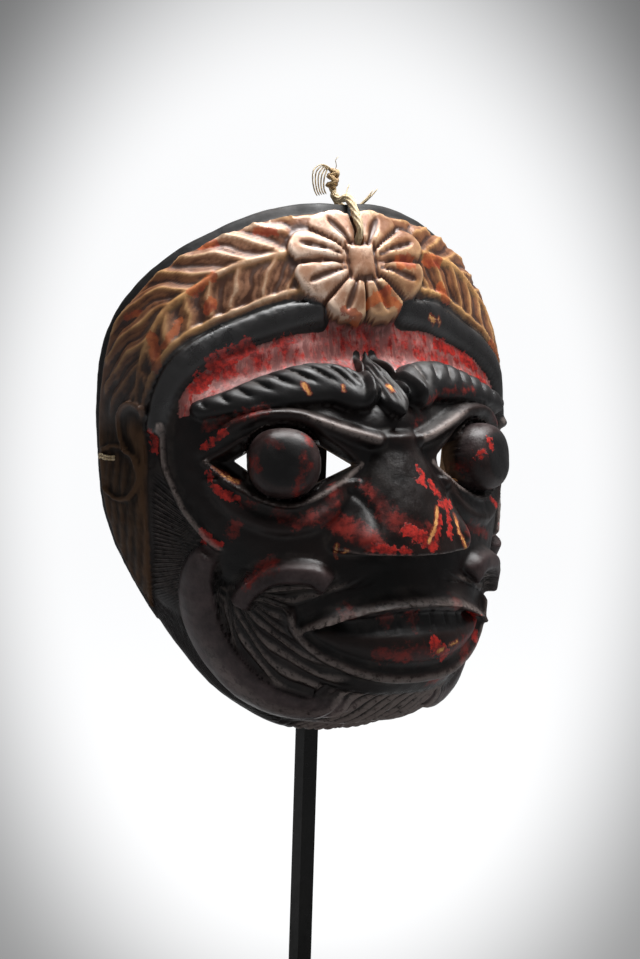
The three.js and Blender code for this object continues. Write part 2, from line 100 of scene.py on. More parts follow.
# Route of the tie, in metres
tie_route = [
    (-0.0008, -0.0081, 0.3483), (-0.0002, -0.0092, 0.3464), (0.0006, -0.0114, 0.3453),
    (0.0012, -0.0149, 0.3461), (0.0013, -0.0183, 0.3441), (0.0011, -0.0212, 0.3406),
    (0.0008, -0.0239, 0.3374), (0.0005, -0.026, 0.3344), (0.0004, -0.026, 0.3318),
    (0.0004, -0.0238, 0.3281), (0.0004, -0.0205, 0.3222), (0.0005, -0.0168, 0.3154),
    (0.0012, -0.013, 0.3116), (0.0024, -0.009, 0.312), (0.0035, -0.0064, 0.3164),
    (0.0043, -0.0052, 0.322), (0.0049, -0.0048, 0.328), (0.0052, -0.0047, 0.334),
    (0.0049, -0.0046, 0.34), (0.0032, -0.0046, 0.3452), (0.0008, -0.0047, 0.3484),
]
tie_width = 0.003
knot_centre = np.array([-0.05, -6.4, 353.45])


# Camera
def camera_frame():
    """Its right, up and backward directions, and its place in metres"""
    turn, rise, roll = (math.radians(x) for x in (camera_turn, camera_rise, camera_roll))
    back = Vector((-math.sin(turn) * math.cos(rise), -math.cos(turn) * math.cos(rise), math.sin(rise)))
    level = Vector((math.cos(turn), -math.sin(turn), 0))
    upright = back.cross(level)
    right = level * math.cos(roll) + upright * math.sin(roll)
    up = upright * math.cos(roll) - level * math.sin(roll)
    return right, up, back, Vector(mask_centre * mm) + camera_away * back


def set_camera():
    right, up, back, place = camera_frame()
    data = bpy.data.cameras.new("camera")
    data.lens = camera_lens
    data.sensor_width = camera_film
    data.shift_x, data.shift_y = camera_shift
    camera = bpy.data.objects.new("camera", data)
    placed = Matrix((right, up, back)).transposed().to_4x4()
    placed.translation = place
    camera.matrix_world = placed
    scene.collection.objects.link(camera)
    scene.camera = camera


# Small helpers
def ease(low, high, x):
    t = np.clip((x - low) / (high - low), 0, 1)
    return t * t * (3 - 2 * t)


def hump(x):
    return np.maximum(0, 1 - x * x) ** 2


def dome(x):
    return np.sqrt(np.maximum(0, 1 - x * x))


def smooth_line(points, per_span=5):
    knots = np.array(points, float)
    ends = np.vstack([knots[:1], knots, knots[-1:]])
    line = []
    for a, b, c, d in zip(ends, ends[1:], ends[2:], ends[3:]):
        for t in np.arange(per_span) / per_span:
            line.append(0.5 * (2 * b + (c - a) * t + (2 * a - 5 * b + 4 * c - d) * t ** 2
                               + (3 * b - a - 3 * c + d) * t ** 3))
    return np.array(line + [knots[-1]])


def even_line(line, spacing):
    """The same line with points evenly spaced along it"""
    run = np.r_[0, np.cumsum(np.linalg.norm(np.diff(line, axis=0), axis=1))]
    marks = np.linspace(0, run[-1], max(8, int(run[-1] / spacing) + 1))
    return np.stack([np.interp(marks, run, line[:, k]) for k in range(line.shape[1])], axis=1)


def noise(points, size, seed):
    """Smooth random values from -1 to 1 whose bumps are about size apart"""
    cells = 32
    lattice = np.random.default_rng(seed).uniform(-1, 1, (cells, cells, cells))
    at = points / size
    base = np.floor(at).astype(int)
    t = at - base
    t = t * t * (3 - 2 * t)
    total = np.zeros(len(points))
    for corner in np.ndindex(2, 2, 2):
        weight = np.prod(np.where(corner, t, 1 - t), axis=1)
        total += weight * lattice[tuple(((base + corner) % cells).T)]
    return total


class Nearest:
    """For each place, the nearest point of a path: distance, share of the way, side and run along it"""

    def __init__(self, line, p, q):
        steps = np.diff(line, axis=0)
        lengths = np.linalg.norm(steps, axis=1)
        runs = np.r_[0, np.cumsum(lengths)]
        self.distance = np.full(p.shape, 1e9)
        self.share = np.zeros(p.shape)
        self.run = np.zeros(p.shape)
        sign = np.zeros(p.shape)
        for i, (start, step, length) in enumerate(zip(line, steps, lengths)):
            dx, dy = p - start[0], q - start[1]
            t = np.clip((dx * step[0] + dy * step[1]) / length ** 2, 0, 1)
            ex, ey = dx - t * step[0], dy - t * step[1]
            away = np.hypot(ex, ey)
            closer = away < self.distance
            self.distance = np.where(closer, away, self.distance)
            self.share = np.where(closer, (i + t) / len(steps), self.share)
            self.run = np.where(closer, runs[i] + t * length, self.run)
            sign = np.where(closer, np.sign(step[0] * ey - step[1] * ex), sign)
        self.side = sign * self.distance


# Paths of the carving on one half of the face, in the chart
band_line = smooth_line([
    (0, 88), (25, 88), (42, 86), (64, 80.5), (81, 72.5), (98, 58), (108, 44), (113, 29.7),
    (114.5, 6), (114.5, -21), (113.5, -47), (109, -74), (104, -86),
])
stem_line = smooth_line([
    (37, 101), (54.6, 98.4), (68.5, 94.4), (80.8, 88), (93.2, 79.8), (102.5, 68), (110, 55.4),
    (115, 42), (117, 30),
])
roll_line = smooth_line([
    (26, 83.5), (43, 81.5), (64, 75.5), (81, 66.5), (95, 54), (104, 41), (109, 28),
])
brow_line = smooth_line([(17, 45), (26, 49.5), (40, 49.5), (58, 46), (73, 40.5), (87, 36)])
crest_line = smooth_line([
    (12, 20.5), (18, 22.5), (28, 26.5), (38, 30.5), (47, 33.5), (58.6, 34), (69, 31.3), (78, 26), (88, 17),
])
upper_lid_line = smooth_line([
    (19, 11.5), (27, 18.5), (37, 25.5), (45, 29.5), (53, 30.8), (61, 29), (69, 23.5), (79, 17), (87, 12),
])
lower_lid_line = smooth_line([
    (19, 10.5), (30, 2.5), (41, -3.5), (51, -6.2), (61.5, -4.5), (70, -0.5), (78.5, 4.5), (87, 12),
])
cheek_line = smooth_line([
    (105, 31), (106.5, 20), (106, 10), (103, 1.8), (95.5, -12), (85.5, -22.5), (76, -29),
])
fold_line = smooth_line([(5, 68), (8.5, 57), (11.5, 46), (14, 35)])
lobe_line = smooth_line([(70, -50), (68, -42), (64, -36), (57, -30.5), (48, -28), (38, -28.5), (31, -33)])
upper_lip_line = smooth_line([(42, -51.5), (35, -47.5), (25, -43.2), (14, -40.8), (0, -40)])
mouth_top_line = smooth_line([(40, -50.6), (28, -46.2), (12, -43.4), (0, -42.8)])
mouth_bottom_line = smooth_line([(40, -51.4), (28, -50.6), (12, -49.4), (0, -49)])
lower_lip_line = smooth_line([(42, -51), (35, -54), (25, -56), (13, -57), (0, -57)])
chin_ring_line = smooth_line([(46, -47), (43.5, -52.5), (35, -57.5), (23, -60.4), (11, -61.6), (0, -61.8)])
jaw_line = smooth_line([
    (82, -30), (86.5, -41), (85.5, -56), (79, -69), (66, -80), (50, -85.5), (33, -83.5), (16, -77.5),
])
ear_line = smooth_line([(112, 12), (110, 24), (112, 35), (119, 40), (126, 35), (127, 24), (124, 16)])
scroll_line = smooth_line([(139, 17), (130, 19), (121, 13), (118, 2), (123, -9), (133, -12), (141, -7)])


# The blank
def rim_radius(angle):
    up = np.where(np.sin(angle) > 0, rim_up, rim_down)
    return (np.abs(np.cos(angle) / rim_across) ** rim_squareness
            + np.abs(np.sin(angle) / up) ** rim_squareness) ** (-1 / rim_squareness)


def direction(p, q):
    turn = np.hypot(p, q) / 100
    share = np.where(turn > 1e-9, np.sin(turn) / np.maximum(turn, 1e-9), 1) / 100
    return np.stack([p * share, -np.cos(turn), q * share], axis=-1)


def chart(ray):
    turn = np.arccos(np.clip(-ray[:, 1], -1, 1))
    share = 100 * np.where(turn > 1e-9, turn / np.maximum(np.sin(turn), 1e-9), 1)
    return ray[:, 0] * share, ray[:, 2] * share


def profile(points, x):
    """Cubic through the points, with each slope taken from the neighbours"""
    at = np.array(points, float)
    steps = np.vstack([at[1] - at[0], at[2:] - at[:-2], at[-1] - at[-2]])
    slopes = steps[:, 1] / steps[:, 0]
    i = np.clip(np.searchsorted(at[:, 0], x) - 1, 0, len(at) - 2)
    span = at[i + 1, 0] - at[i, 0]
    t = np.clip((x - at[i, 0]) / span, 0, 1)
    return ((2 * t ** 3 - 3 * t ** 2 + 1) * at[i, 1] + (t ** 3 - 2 * t ** 2 + t) * span * slopes[i]
            + (-2 * t ** 3 + 3 * t ** 2) * at[i + 1, 1] + (t ** 3 - t ** 2) * span * slopes[i + 1])


def blank_radius(ray):
    bearing = np.arctan2(ray[:, 0], -ray[:, 1])
    latitude = np.degrees(np.arcsin(np.clip(ray[:, 2], -1, 1)))
    middle = profile(middle_profile, latitude)
    side = profile(side_profile, latitude)
    return (np.abs(np.sin(bearing) / side) ** girth_squareness
            + np.abs(np.cos(bearing) / middle) ** girth_squareness) ** (-1 / girth_squareness)


def back_radius(p, q, ray):
    edge = np.hypot(p, q) / rim_radius(np.arctan2(q, p))
    thickness = wall + (rim_wall - wall) * ease(0.85, 1, edge)
    nose_hollow = 7 * hump(np.hypot(p / 30, (q + 8) / 34))
    return blank_radius(ray) + nose_hollow - thickness


# The carving: each function gives heights over the blank and notes what is where, for the paint
def carve_headband(p, q, inset, notes):
    edge = Nearest(band_line, p, q)
    stem = Nearest(stem_line, p, q)
    roll = Nearest(roll_line, p, q)
    field = ease(-0.7, 0.7, edge.side)
    inner = ease(5, 6.6, inset)
    height = (3.2 - 1.4 * ease(0.6, 0.8, edge.share)) * field * (0.35 + 0.65 * inner)
    outer_row = stem.side > 0
    away = np.abs(stem.side)
    sway = 0.13 * np.sin(stem.run / 7.3) + 0.07 * np.sin(away / 3.1 + stem.run / 4.7)
    sway += 0.03 * np.sin(away / 0.9)
    phase = (stem.run - away * np.where(outer_row, 1.75, 1.1)) / 14.2 + np.where(outer_row, 0.3, 0) + sway
    across = np.abs(phase - np.floor(phase) - 0.5) * 2
    reach = np.where(outer_row, 19.0, 20.0)
    width = 0.98 - 0.62 * ease(0.3, 1, away / reach) ** 1.2
    across = across / width
    leaf = 1.25 * np.sqrt(np.maximum(0, 1 - across ** 2.4)) + 0.7 * hump(across / 0.28)
    leaf = leaf * ease(1, 0.9, away / reach)
    leaf -= 0.22 * hump((across - 0.5) / 0.16) * ease(0.95, 0.6, away / reach)
    stem_ridge = 2.2 * hump(away / 2.2) * (1 - 0.5 * ease(0.7, 1, stem.share))
    leafy = field * inner * ease(32, 38, np.hypot(p, (q - flower_up) * 1.4)) * ease(32, 44, q)
    bead = 1.3 * hump((roll.side - 6.6) / 1.3) * (roll.share > 0.02) * ease(1, 0.9, roll.share)
    bead = bead * (edge.side > 0)
    leafy = leafy * (1 - 0.8 * hump((roll.side - 6.4) / 2.8) * (roll.side < 8))
    height = height - 0.6 * leafy + np.maximum(leaf, stem_ridge) * leafy + bead
    ear = Nearest(ear_line, p, q)
    scroll = Nearest(scroll_line, p, q)
    creases = 0.2 * np.sin((p + 0.06 * q + 2.5 * np.sin(q / 21)) * 1.15) * ease(112, 118, p) * ease(28, 14, q)
    side_strip = 1.9 * hump(ear.distance / 2.3) + 1.4 * hump(scroll.distance / 2.2)
    side_strip += 1.2 * hump(np.hypot((p - 118.5) / 6, (q - 26) / 11))
    height = height + (side_strip + creases) * inner * field
    bar = 5.4 * (0.75 + 0.25 * ease(0, 0.2, roll.share)) * (1 - 0.15 * ease(0.8, 1, roll.share))
    notes["roll"] = ease(1.08, 0.92, roll.distance / bar)
    notes["roll_side"] = roll.side
    notes["strip"] = field * (1 - inner)
    notes["gilt"] = field * inner * (1 - notes["roll"])
    leaf_rib = 0.6 * hump(across / 0.22) * ease(0.95, 0.5, away / reach)
    ribs = np.maximum(hump(away / 1.9) * (1 - 0.4 * stem.share), leaf_rib)
    notes["gold"] = np.maximum(ribs * leafy, 0.8 * (bead > 0.5))
    notes["side_strip"] = field * inner * ease(40, 24, q)
    return np.where(roll.distance < bar, np.maximum(height, 4.6 * dome(roll.distance / bar)), height)


def carve_flower(p, q, notes):
    x = p / 37
    y = (q - flower_up) / np.where(q > flower_up, 17.5, 20)
    out = np.hypot(x, y)
    petal = np.arctan2(x, y) / (math.pi / 4)
    off_middle = np.abs(petal - np.floor(petal) - 0.5) * 2
    rim = 1.03 - 0.15 * off_middle ** 3
    inside = ease(0, 0.055, rim - out)
    bowl = 1.4 + 4.4 * dome(out / 1.10 - 0.13) * (1 - 0.34 * off_middle ** 3)
    bowl = bowl * (1 - 0.3 * ease(0.5, 0.2, out)) * (1 - 0.6 * ease(99, 113, q))
    lens = np.sqrt(hump((out - 0.56) / 0.36)) * 0.30 + 0.04
    dent = 1.5 * hump(off_middle / lens) * ease(0, 0.1, 0.34 - np.abs(out - 0.56))
    notch = 2.2 * hump((1 - off_middle) / 0.14) * ease(0.22, 0.36, out)
    facet = np.maximum(p / 6.6, np.abs(q - flower_up) / 5.0)
    boss = 3.2 + 2.0 * np.sqrt(np.maximum(0, 1 - facet ** 3.5))
    height = np.where(facet < 1, np.maximum(bowl - notch, boss), bowl - dent - notch)
    height -= 1.0 * hump((facet - 1.14) / 0.18)
    notes["flower"] = inside
    notes["boss"] = ease(1.06, 0.94, facet)
    notes["groove"] = inside * np.maximum(dent / 1.5, notch / 2.2) * (facet > 1)
    return inside, 1.9 + height


def carve_brow(p, q, lean_to, notes):
    line = Nearest(brow_line, p, q)
    width = 11 - 6.5 * ease(0.35, 1.05, line.share)
    off = line.side / width
    body = dome(off) ** 0.8
    lean = 1.6 - 1.4 * line.share
    phase = (line.run - line.side * lean * lean_to) / 9.4
    turn = phase - np.floor(phase)
    stroke = hump((turn - 0.5) / 0.15) * ease(0, 0.06, line.share) * ease(1.0, 0.93, line.share)
    stroke = stroke * ease(-0.35, 0.15, off) * ease(0.98, 0.8, off)
    swell = 0.3 * np.cos(2 * math.pi * turn) * ease(-0.6, 0.1, off)
    notes["brow"] = ease(1.05, 0.93, line.distance / width)
    notes["above_brow"] = ease(0.2, 1.6, line.side - width)
    notes["brow_stroke"] = stroke * (line.distance < width)
    height = (8.2 - 3.6 * line.share) * body + (swell - 1.5 * stroke) * body
    return np.where(line.distance < width, np.maximum(height, 0), 0)


def carve_frown(p, q, notes):
    fold = Nearest(fold_line, p, q)
    leaf_width = 8.2 * np.sqrt(ease(70, 42, q)) * np.sqrt(1 - ease(40, 29, q)) + 0.01
    within = (q < 70) & (q > 29)
    leaf = np.where(within, (2 + 5 * ease(68, 46, q)) * dome(p / leaf_width), 0)
    veins = hump((p - 2.9) / 1.0) + hump(p / 0.8) + hump((p - 5.6) / 0.9)
    veins = veins * ease(65, 58, q) * ease(34, 40, q) * (leaf > 0)
    notes["leaf"] = (leaf > 0.4) * 1.0
    notes["leaf_veins"] = veins
    notes["fold"] = hump(fold.distance / 3.2)
    folded = 4.4 * hump(fold.distance / 3.0) * ease(0, 0.3, fold.share) * (1 - 0.6 * ease(0.8, 1, fold.share))
    return folded + leaf - 1.2 * veins + 5 * hump(p / 30) * hump((q - 33) / 19)


def carve_eye(p, q, notes):
    crest = Nearest(crest_line, p, q)
    above = Nearest(upper_lid_line, p, q)
    below = Nearest(lower_lid_line, p, q)
    bag = (np.hypot((p - eye_across) / 1.15, q - eye_up) - 27) / 5
    height = 4.6 * hump(crest.distance / 5.2) * (1 - 0.8 * ease(0.62, 1, crest.share))
    corner = ease(0.02, 0.2, above.share)
    height += (0.9 * hump(above.distance / 1.8) + 2.2 * hump(below.distance / 1.9)) * corner
    height += np.where(q < eye_up - 8, 2.2 * hump(bag), 0)
    opened = (above.side < 0) & (below.side > 0) & (p > 22) & (p < 87)
    height -= np.where(opened, 6 * ease(0, 3.6, np.minimum(above.distance, below.distance)), 0)
    out = (np.abs(p - eye_across) ** 2.3 + np.abs(q - eye_up) ** 2.3) ** (1 / 2.3) / eye_radius
    knob = np.where(out < 1, -4 + 13.5 * np.sqrt(np.maximum(0, 1 - out ** 4.5)), -99)
    lid_ring = 6.5 * hump((out - 1.075) / 0.065) * ease(eye_up - 2, eye_up + 9, q) - 4
    notes["knob"] = ease(1.03, 0.97, out)
    notes["pupil"] = ease(0.66, 0.58, out)
    notes["lids"] = hump(below.distance / 1.8) * (1 + 0.8 * ease(0.4, 0.15, below.share))
    notes["lids"] += 0.6 * hump(above.distance / 1.6)
    notes["crest"] = hump(crest.distance / 3.4) * ease(0.6, 0.3, crest.share)
    return height, np.maximum(knob, np.where(np.abs(out - 1.075) < 0.065, lid_ring, -99))


def carve_nose(p, q, notes):
    width = 11.5 + 22.5 * ease(22, -24, q) ** 0.85 + 2 * hump((q + 19) / 7)
    section = (1 - np.clip(p / width, 0, 1) ** 2.2) ** 1.1
    wing = np.where(p < width, 2.8 * hump((p - 24) / 10.5) * hump((q + 17) / 10), 0)
    groove = 0.9 * hump((np.hypot((p - 34) / 1.2, q + 12) - 13) / 2.2) * (p > 17) * (p < 27) * (q > -21)
    keel = (5 + 10.5 * ease(24, -20, q)) * section
    notes["nose_edge"] = hump((q + 22.3) / 1.5) * (p < 33)
    return (keel + wing - groove) * ease(25.5, 20.5, q) * (1 - ease(-21.8, -25.6, q))


def carve_cheeks(p, q, notes):
    ridge = Nearest(cheek_line, p, q)
    lobe = Nearest(lobe_line, p, q)
    jaw = Nearest(jaw_line, p, q)
    jaw_width = 10.8 * np.sin(math.pi * np.clip(jaw.share * 0.92 + 0.06, 0, 1)) ** 0.55
    height = 2.8 * hump(ridge.distance / 2.6) * ease(0, 0.1, ridge.share) * ease(1, 0.9, ridge.share)
    curl = ease(-1.2, 1.2, lobe.side) * ease(13, 6, lobe.side)
    curl = curl * ease(0, 0.08, lobe.share) * ease(1, 0.97, lobe.share)
    height += 5.6 * curl * (0.4 + 0.6 * ease(10, 5, lobe.side)) * (1 - 0.5 * ease(38, 31, p))
    from_jaw = jaw.distance / np.maximum(jaw_width, 0.1)
    crescent = 5.0 * dome(from_jaw) * ease(0, 0.04, jaw.share) * ease(1, 0.96, jaw.share)
    height += crescent * (1 - 0.55 * ease(0.68, 0.98, jaw.share))
    notes["cheek_ridge"] = hump(ridge.distance / 2.0) * (ridge.share > 0.02) * (ridge.share < 0.98)
    notes["jaw"] = ease(1.04, 0.9, from_jaw)
    notes["lobe"] = curl * ease(9, 6, lobe.side)
    notes["jaw_side"] = jaw.side
    notes["jaw_ridge"] = ease(0.75, 0.1, from_jaw) * ease(0.25, 0.6, jaw.share) * ease(1, 0.92, jaw.share)
    return height


def carve_mouth(p, q, notes):
    mound = np.clip(np.hypot(p / 47, (q + 54) / 23), 0, 1)
    lip = Nearest(upper_lip_line, p, q)
    top = Nearest(mouth_top_line, p, q)
    bottom = Nearest(mouth_bottom_line, p, q)
    under = Nearest(lower_lip_line, p, q)
    ring = Nearest(chin_ring_line, p, q)
    height = 6.5 * hump(mound * 0.95) + 3.4 * hump(lip.distance / 2.1) + 3.6 * hump(ring.distance / 3.0)
    parted = (top.side > 0) & (bottom.side < 0) & (p < 40)
    height -= np.where(parted, 4.5 * ease(0, 1.6, np.minimum(top.distance, bottom.distance)), 0)
    tooth = np.abs((p / 7.2) % 1 - 0.5) * 2
    teeth = parted * ease(0, 1.2, top.distance) * ease(30, 24, p) * ease(0.6, 1.4, bottom.distance)
    height += teeth * (2.6 - 0.9 * ease(0.7, 1, tooth))
    upper = (lip.side > 0) & (top.side < 0) & (p < 42)
    height += np.where(upper, 1.2, 0)
    lower = (bottom.side > 0) & (under.side < 0) & (p < 42)
    fullness = dome(np.clip(1 - np.minimum(bottom.distance, under.distance) / 4.5, 0, 1))
    height += np.where(lower, 1.3 * fullness, 0)
    notes["parted"] = parted * 1.0
    notes["upper_lip"] = hump(lip.distance / 2.0) + 0.5 * upper
    notes["chin_ring"] = hump(ring.distance / 2.2)
    return height


def hair_strokes(p, q, notes):
    """Cut hair lines, as a phase that grows across them and how deep they are"""
    fan = np.arctan2(q + 29, p - 72)
    fan_out = np.hypot(p - 72, q + 29)
    beside = ease(113.5, 111, p) * ease(8, 18, fan_out) * (1 - notes["jaw"]) * (1 - notes["cheek_ridge"])
    ridge = Nearest(cheek_line, p, q)
    sideburn = beside * ease(0.8, 2.6, ridge.side) * ease(74, 78, p) * ease(8, -8, q) * ease(-72, -60, q)
    curl_end = np.arctan2(-37 - q, 73 - p)
    curl_out = np.hypot(73 - p, -37 - q)
    beard = (1 - notes["jaw"]) * (1 - notes["lobe"]) * ease(3, 9, curl_out) * ease(62, 54, curl_out)
    beard = beard * (notes["jaw_side"] < 0) * ease(46, 51, np.hypot(p, 3.2 * (q + 50)))
    beard = beard * ease(-32, -38, q) * ease(80, 75, p)
    under = ease(-70, -76, q) * (notes["jaw_side"] > 0) * (1 - notes["jaw"]) * (p > 18)
    under = under * ease(2.5, 7, notes["inset"])
    chin = ease(-69.5, -72.5, q) * ease(32, 17, p)
    phase = fan * 15
    phase = np.where(beard > 0.01, (curl_end + 0.0133 * curl_out) * 7 + 0.15 * np.sin(curl_end * 19), phase)
    phase = np.where(under > 0.01, np.abs(notes["jaw_side"]) / 2.1 + 0.015 * p, phase)
    phase = np.where(chin > 0.01, (p * notes["hand"] - 0.5 * q) / 5.0, phase)
    depth = np.maximum.reduce([sideburn, beard, under, chin])
    notes["chin_hatch"] = chin
    notes["beard"] = beard
    notes["sideburn"] = sideburn
    return phase, depth


def carving(across, q):
    """Height of the carving over the blank in millimetres, and the notes for the paint"""
    calm = 1 - hump(np.hypot((np.abs(across) - eye_across) / 48, (q - eye_up) / 30))
    shifted = across + calm * (0.7 * np.sin(q / 31 + 1.3) + 0.4 * np.sin(q / 13 + across / 29))
    lifted = q - calm * (0.9 * np.sin(across / 37 + 0.6) + 0.4 * np.sin(across / 15 + 2))
    p = np.abs(shifted)
    notes = {"hand": np.where(across < 0, -1.0, 1.0)}
    inset = rim_radius(np.arctan2(q, np.abs(across))) - np.hypot(across, q)
    notes["inset"] = inset
    height = carve_headband(p, lifted, inset, notes)
    inside, bloom = carve_flower(p, lifted, notes)
    height += (bloom - height) * inside
    hollow = 1.6 * hump((lifted - 66 + 0.0022 * p * p) / 9) * ease(100, 80, p) * (1 - inside)
    height += carve_brow(p, lifted, np.where(across < 0, 1, 0.35), notes)
    height += carve_frown(p, lifted, notes) - hollow
    height -= 3.8 * hump(np.hypot((p - 68) / 33, (lifted - 60) / 36))
    socket, knob = carve_eye(p, lifted, notes)
    height += socket + carve_nose(p, lifted, notes) + carve_cheeks(p, lifted, notes)
    height += carve_mouth(p, lifted, notes)
    height = np.maximum(height, knob)
    phase, depth = hair_strokes(p, lifted, notes)
    deep = 0.75 + 0.6 * notes["chin_hatch"] + 0.4 * notes["beard"]
    height -= deep * depth * (0.5 - 0.5 * np.cos(2 * math.pi * phase))
    notes["phase"], notes["depth"] = phase, depth
    height -= 2.2 * (1 - dome(np.clip(1 - inset / 3, 0, 1)))
    spots = np.stack([across, q, np.zeros_like(q)], axis=-1)
    height += 0.28 * noise(spots, 13, 3) + 0.16 * noise(spots, 5.5, 5) + 0.07 * noise(spots, 2.4, 8)
    return height, notes


# Meshes
def grid_mesh(name, across, along, place):
    """A grid whose corners place(u, v) sets, with u and v from 0 to 1"""
    bm = bmesh.new()
    bmesh.ops.create_grid(bm, x_segments=across, y_segments=along, size=1)
    mesh = bpy.data.meshes.new(name)
    bm.to_mesh(mesh)
    bm.free()
    flat = np.empty(len(mesh.vertices) * 3)
    mesh.vertices.foreach_get("co", flat)
    u, v = flat.reshape(-1, 3)[:, 0] / 2 + 0.5, flat.reshape(-1, 3)[:, 1] / 2 + 0.5
    mesh.vertices.foreach_set("co", (place(u, v) * mm).ravel())
    return mesh


def round_turn(u):
    """The angle round a tube or a disc, with the grid's last column laid on its first"""
    return 2 * math.pi * np.where(u > 0.999, 0, u)


def joined(meshes, weld=0.0):
    bm = bmesh.new()
    for mesh in meshes:
        bm.from_mesh(mesh)
    if weld:
        bmesh.ops.remove_doubles(bm, verts=bm.verts, dist=weld)
    bmesh.ops.recalc_face_normals(bm, faces=bm.faces)
    return bm


def new_object(name, bm):
    mesh = bpy.data.meshes.new(name)
    bm.to_mesh(mesh)
    bm.free()
    made = bpy.data.objects.new(name, mesh)
    scene.collection.objects.link(made)
    return made


def shown(name, bm, material, crease):
    """A piece of the mask or its stand, with edges sharper than the crease kept sharp"""
    piece = new_object(name, bm)
    piece.data.shade_smooth()
    piece.data.set_sharp_from_angle(angle=math.radians(crease))
    piece.data.materials.append(material)
    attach(piece, "root")
    return piece


def vertex_places(mesh):
    flat = np.empty(len(mesh.vertices) * 3)
    mesh.vertices.foreach_get("co", flat)
    return flat.reshape(-1, 3)


def store(mesh, name, columns):
    layer = mesh.attributes.new(name, "FLOAT_COLOR", "POINT")
    values = np.stack([np.broadcast_to(c, len(mesh.vertices)) for c in columns], axis=1)
    layer.data.foreach_set("color", values.astype(np.float32).ravel())


def oval(u, v):
    """Chart places of a square grid drawn out to the oval rim"""
    u, v = 2 * u - 1, 2 * v - 1
    u = u - gather_across * np.sin(math.pi * u) / math.pi
    v = v - gather_up * np.sin(math.pi * v) / math.pi
    x, y = u * np.sqrt(1 - v * v / 2), v * np.sqrt(1 - u * u / 2)
    angle = np.arctan2(y, x)
    reach = np.hypot(x, y) * rim_radius(angle)
    return reach * np.cos(angle), reach * np.sin(angle)


def front_skin(u, v):
    """The carved face; each height is the mean of four spots round its corner"""
    p, q = oval(u, v)
    spots = ((0.35, 0.12), (-0.35, -0.12), (-0.12, 0.35), (0.12, -0.35))
    height = sum(carving(p + dp, q + dq)[0] for dp, dq in spots) / len(spots)
    ray = direction(p, q)
    return ray * (blank_radius(ray) + height)[:, None] + mask_centre


def back_skin(u, v):
    p, q = oval(u, v)
    ray = direction(p, q)
    rough = 0.35 * noise(ray * 90, 9, 21) + 0.2 * noise(ray * 90, 4, 22)
    edge = np.hypot(p, q) / rim_radius(np.arctan2(q, p))
    return ray * (back_radius(p, q, ray) + rough * ease(1, 0.93, edge))[:, None] + mask_centre


def ray_cutter(name, outline):
    """A closed cutter that runs along the rays through the outline, from inside the shell to outside"""
    bm = bmesh.new()
    bmesh.ops.create_circle(bm, cap_ends=True, segments=len(outline), radius=1)
    p, q = np.array(outline).T
    ray = direction(p, q)
    inner_share, outer_share = 0.5, 1.5
    inner = ray * blank_radius(ray)[:, None] * inner_share
    bm.verts.ensure_lookup_table()
    for vert, spot in zip(bm.verts, inner):
        vert.co = spot
    outer = bmesh.ops.extrude_face_region(bm, geom=bm.faces[:])
    for vert in outer["geom"]:
        if isinstance(vert, bmesh.types.BMVert):
            vert.co = vert.co * (outer_share / inner_share)
    for vert in bm.verts:
        vert.co = (vert.co + Vector(mask_centre)) * mm
    bmesh.ops.recalc_face_normals(bm, faces=bm.faces)
    return new_object(name, bm)


def slit_outline(corner, half_angle, hand):
    """One sight slit: from its outer or inner corner to an arc beside the eye knob"""
    reach = eye_radius + slit_clearance
    towards = np.sign(corner[0] - eye_across)
    arc = np.radians(half_angle) * np.linspace(-1, 1, 15)
    ends = [eye_across + towards * reach * np.cos(arc), eye_up + reach * np.sin(arc)]
    outline = [(corner[0], corner[1] - 0.35), *zip(*ends), (corner[0], corner[1] + 0.35)]
    return [(hand * p, q) for p, q in outline]


def hole_outline(across, up, radius):
    """A round hole, widened across where the chart's lines draw together"""
    turn = up / 100
    widened = turn / math.sin(turn)
    turns = np.linspace(0, 2 * math.pi, 20, endpoint=False)
    return list(zip(across + radius * widened * np.cos(turns), up + radius * np.sin(turns)))


def carved_shell():
    """Front and back skins joined at the rim, with the slits and the tie hole cut through"""
    front = grid_mesh("front_skin", front_cells, front_cells, front_skin)
    back = grid_mesh("back_skin", back_cells, back_cells, back_skin)
    bm = joined([front, back])
    edges = [edge for edge in bm.edges if edge.is_boundary]
    bmesh.ops.bridge_loops(bm, edges=edges)
    bmesh.ops.recalc_face_normals(bm, faces=bm.faces)
    shell = new_object("shell", bm)
    outlines = [slit_outline(corner, half, hand) for hand in (-1, 1)
                for corner, half in (((21, 10.6), 42), ((76.5, 12.4), 19))]
    outlines.append(hole_outline(hole_across, hole_up, hole_radius))
    for k, outline in enumerate(outlines):
        cut = shell.modifiers.new(f"cut_{k}", "BOOLEAN")
        cut.operation = "DIFFERENCE"
        cut.solver = "MANIFOLD"
        cut.object = ray_cutter(f"cutter_{k}", outline)
    bpy.context.view_layer.update()
    bm = bmesh.new()
    bm.from_object(shell, bpy.context.evaluated_depsgraph_get())
    for k in range(len(outlines)):
        bpy.data.objects.remove(bpy.data.objects[f"cutter_{k}"])
    bpy.data.objects.remove(shell)
    return bm


def edge_average(mesh, values, rounds):
    """The values after each has been averaged with its neighbours, round after round"""
    ends = np.empty(len(mesh.edges) * 2, int)
    mesh.edges.foreach_get("vertices", ends)
    a, b = ends[::2], ends[1::2]
    count = np.bincount(a, minlength=len(values)) + np.bincount(b, minlength=len(values)) + 1.0
    for _ in range(rounds):
        total = values + np.bincount(a, values[b], len(values)) + np.bincount(b, values[a], len(values))
        values = total / count
    return values


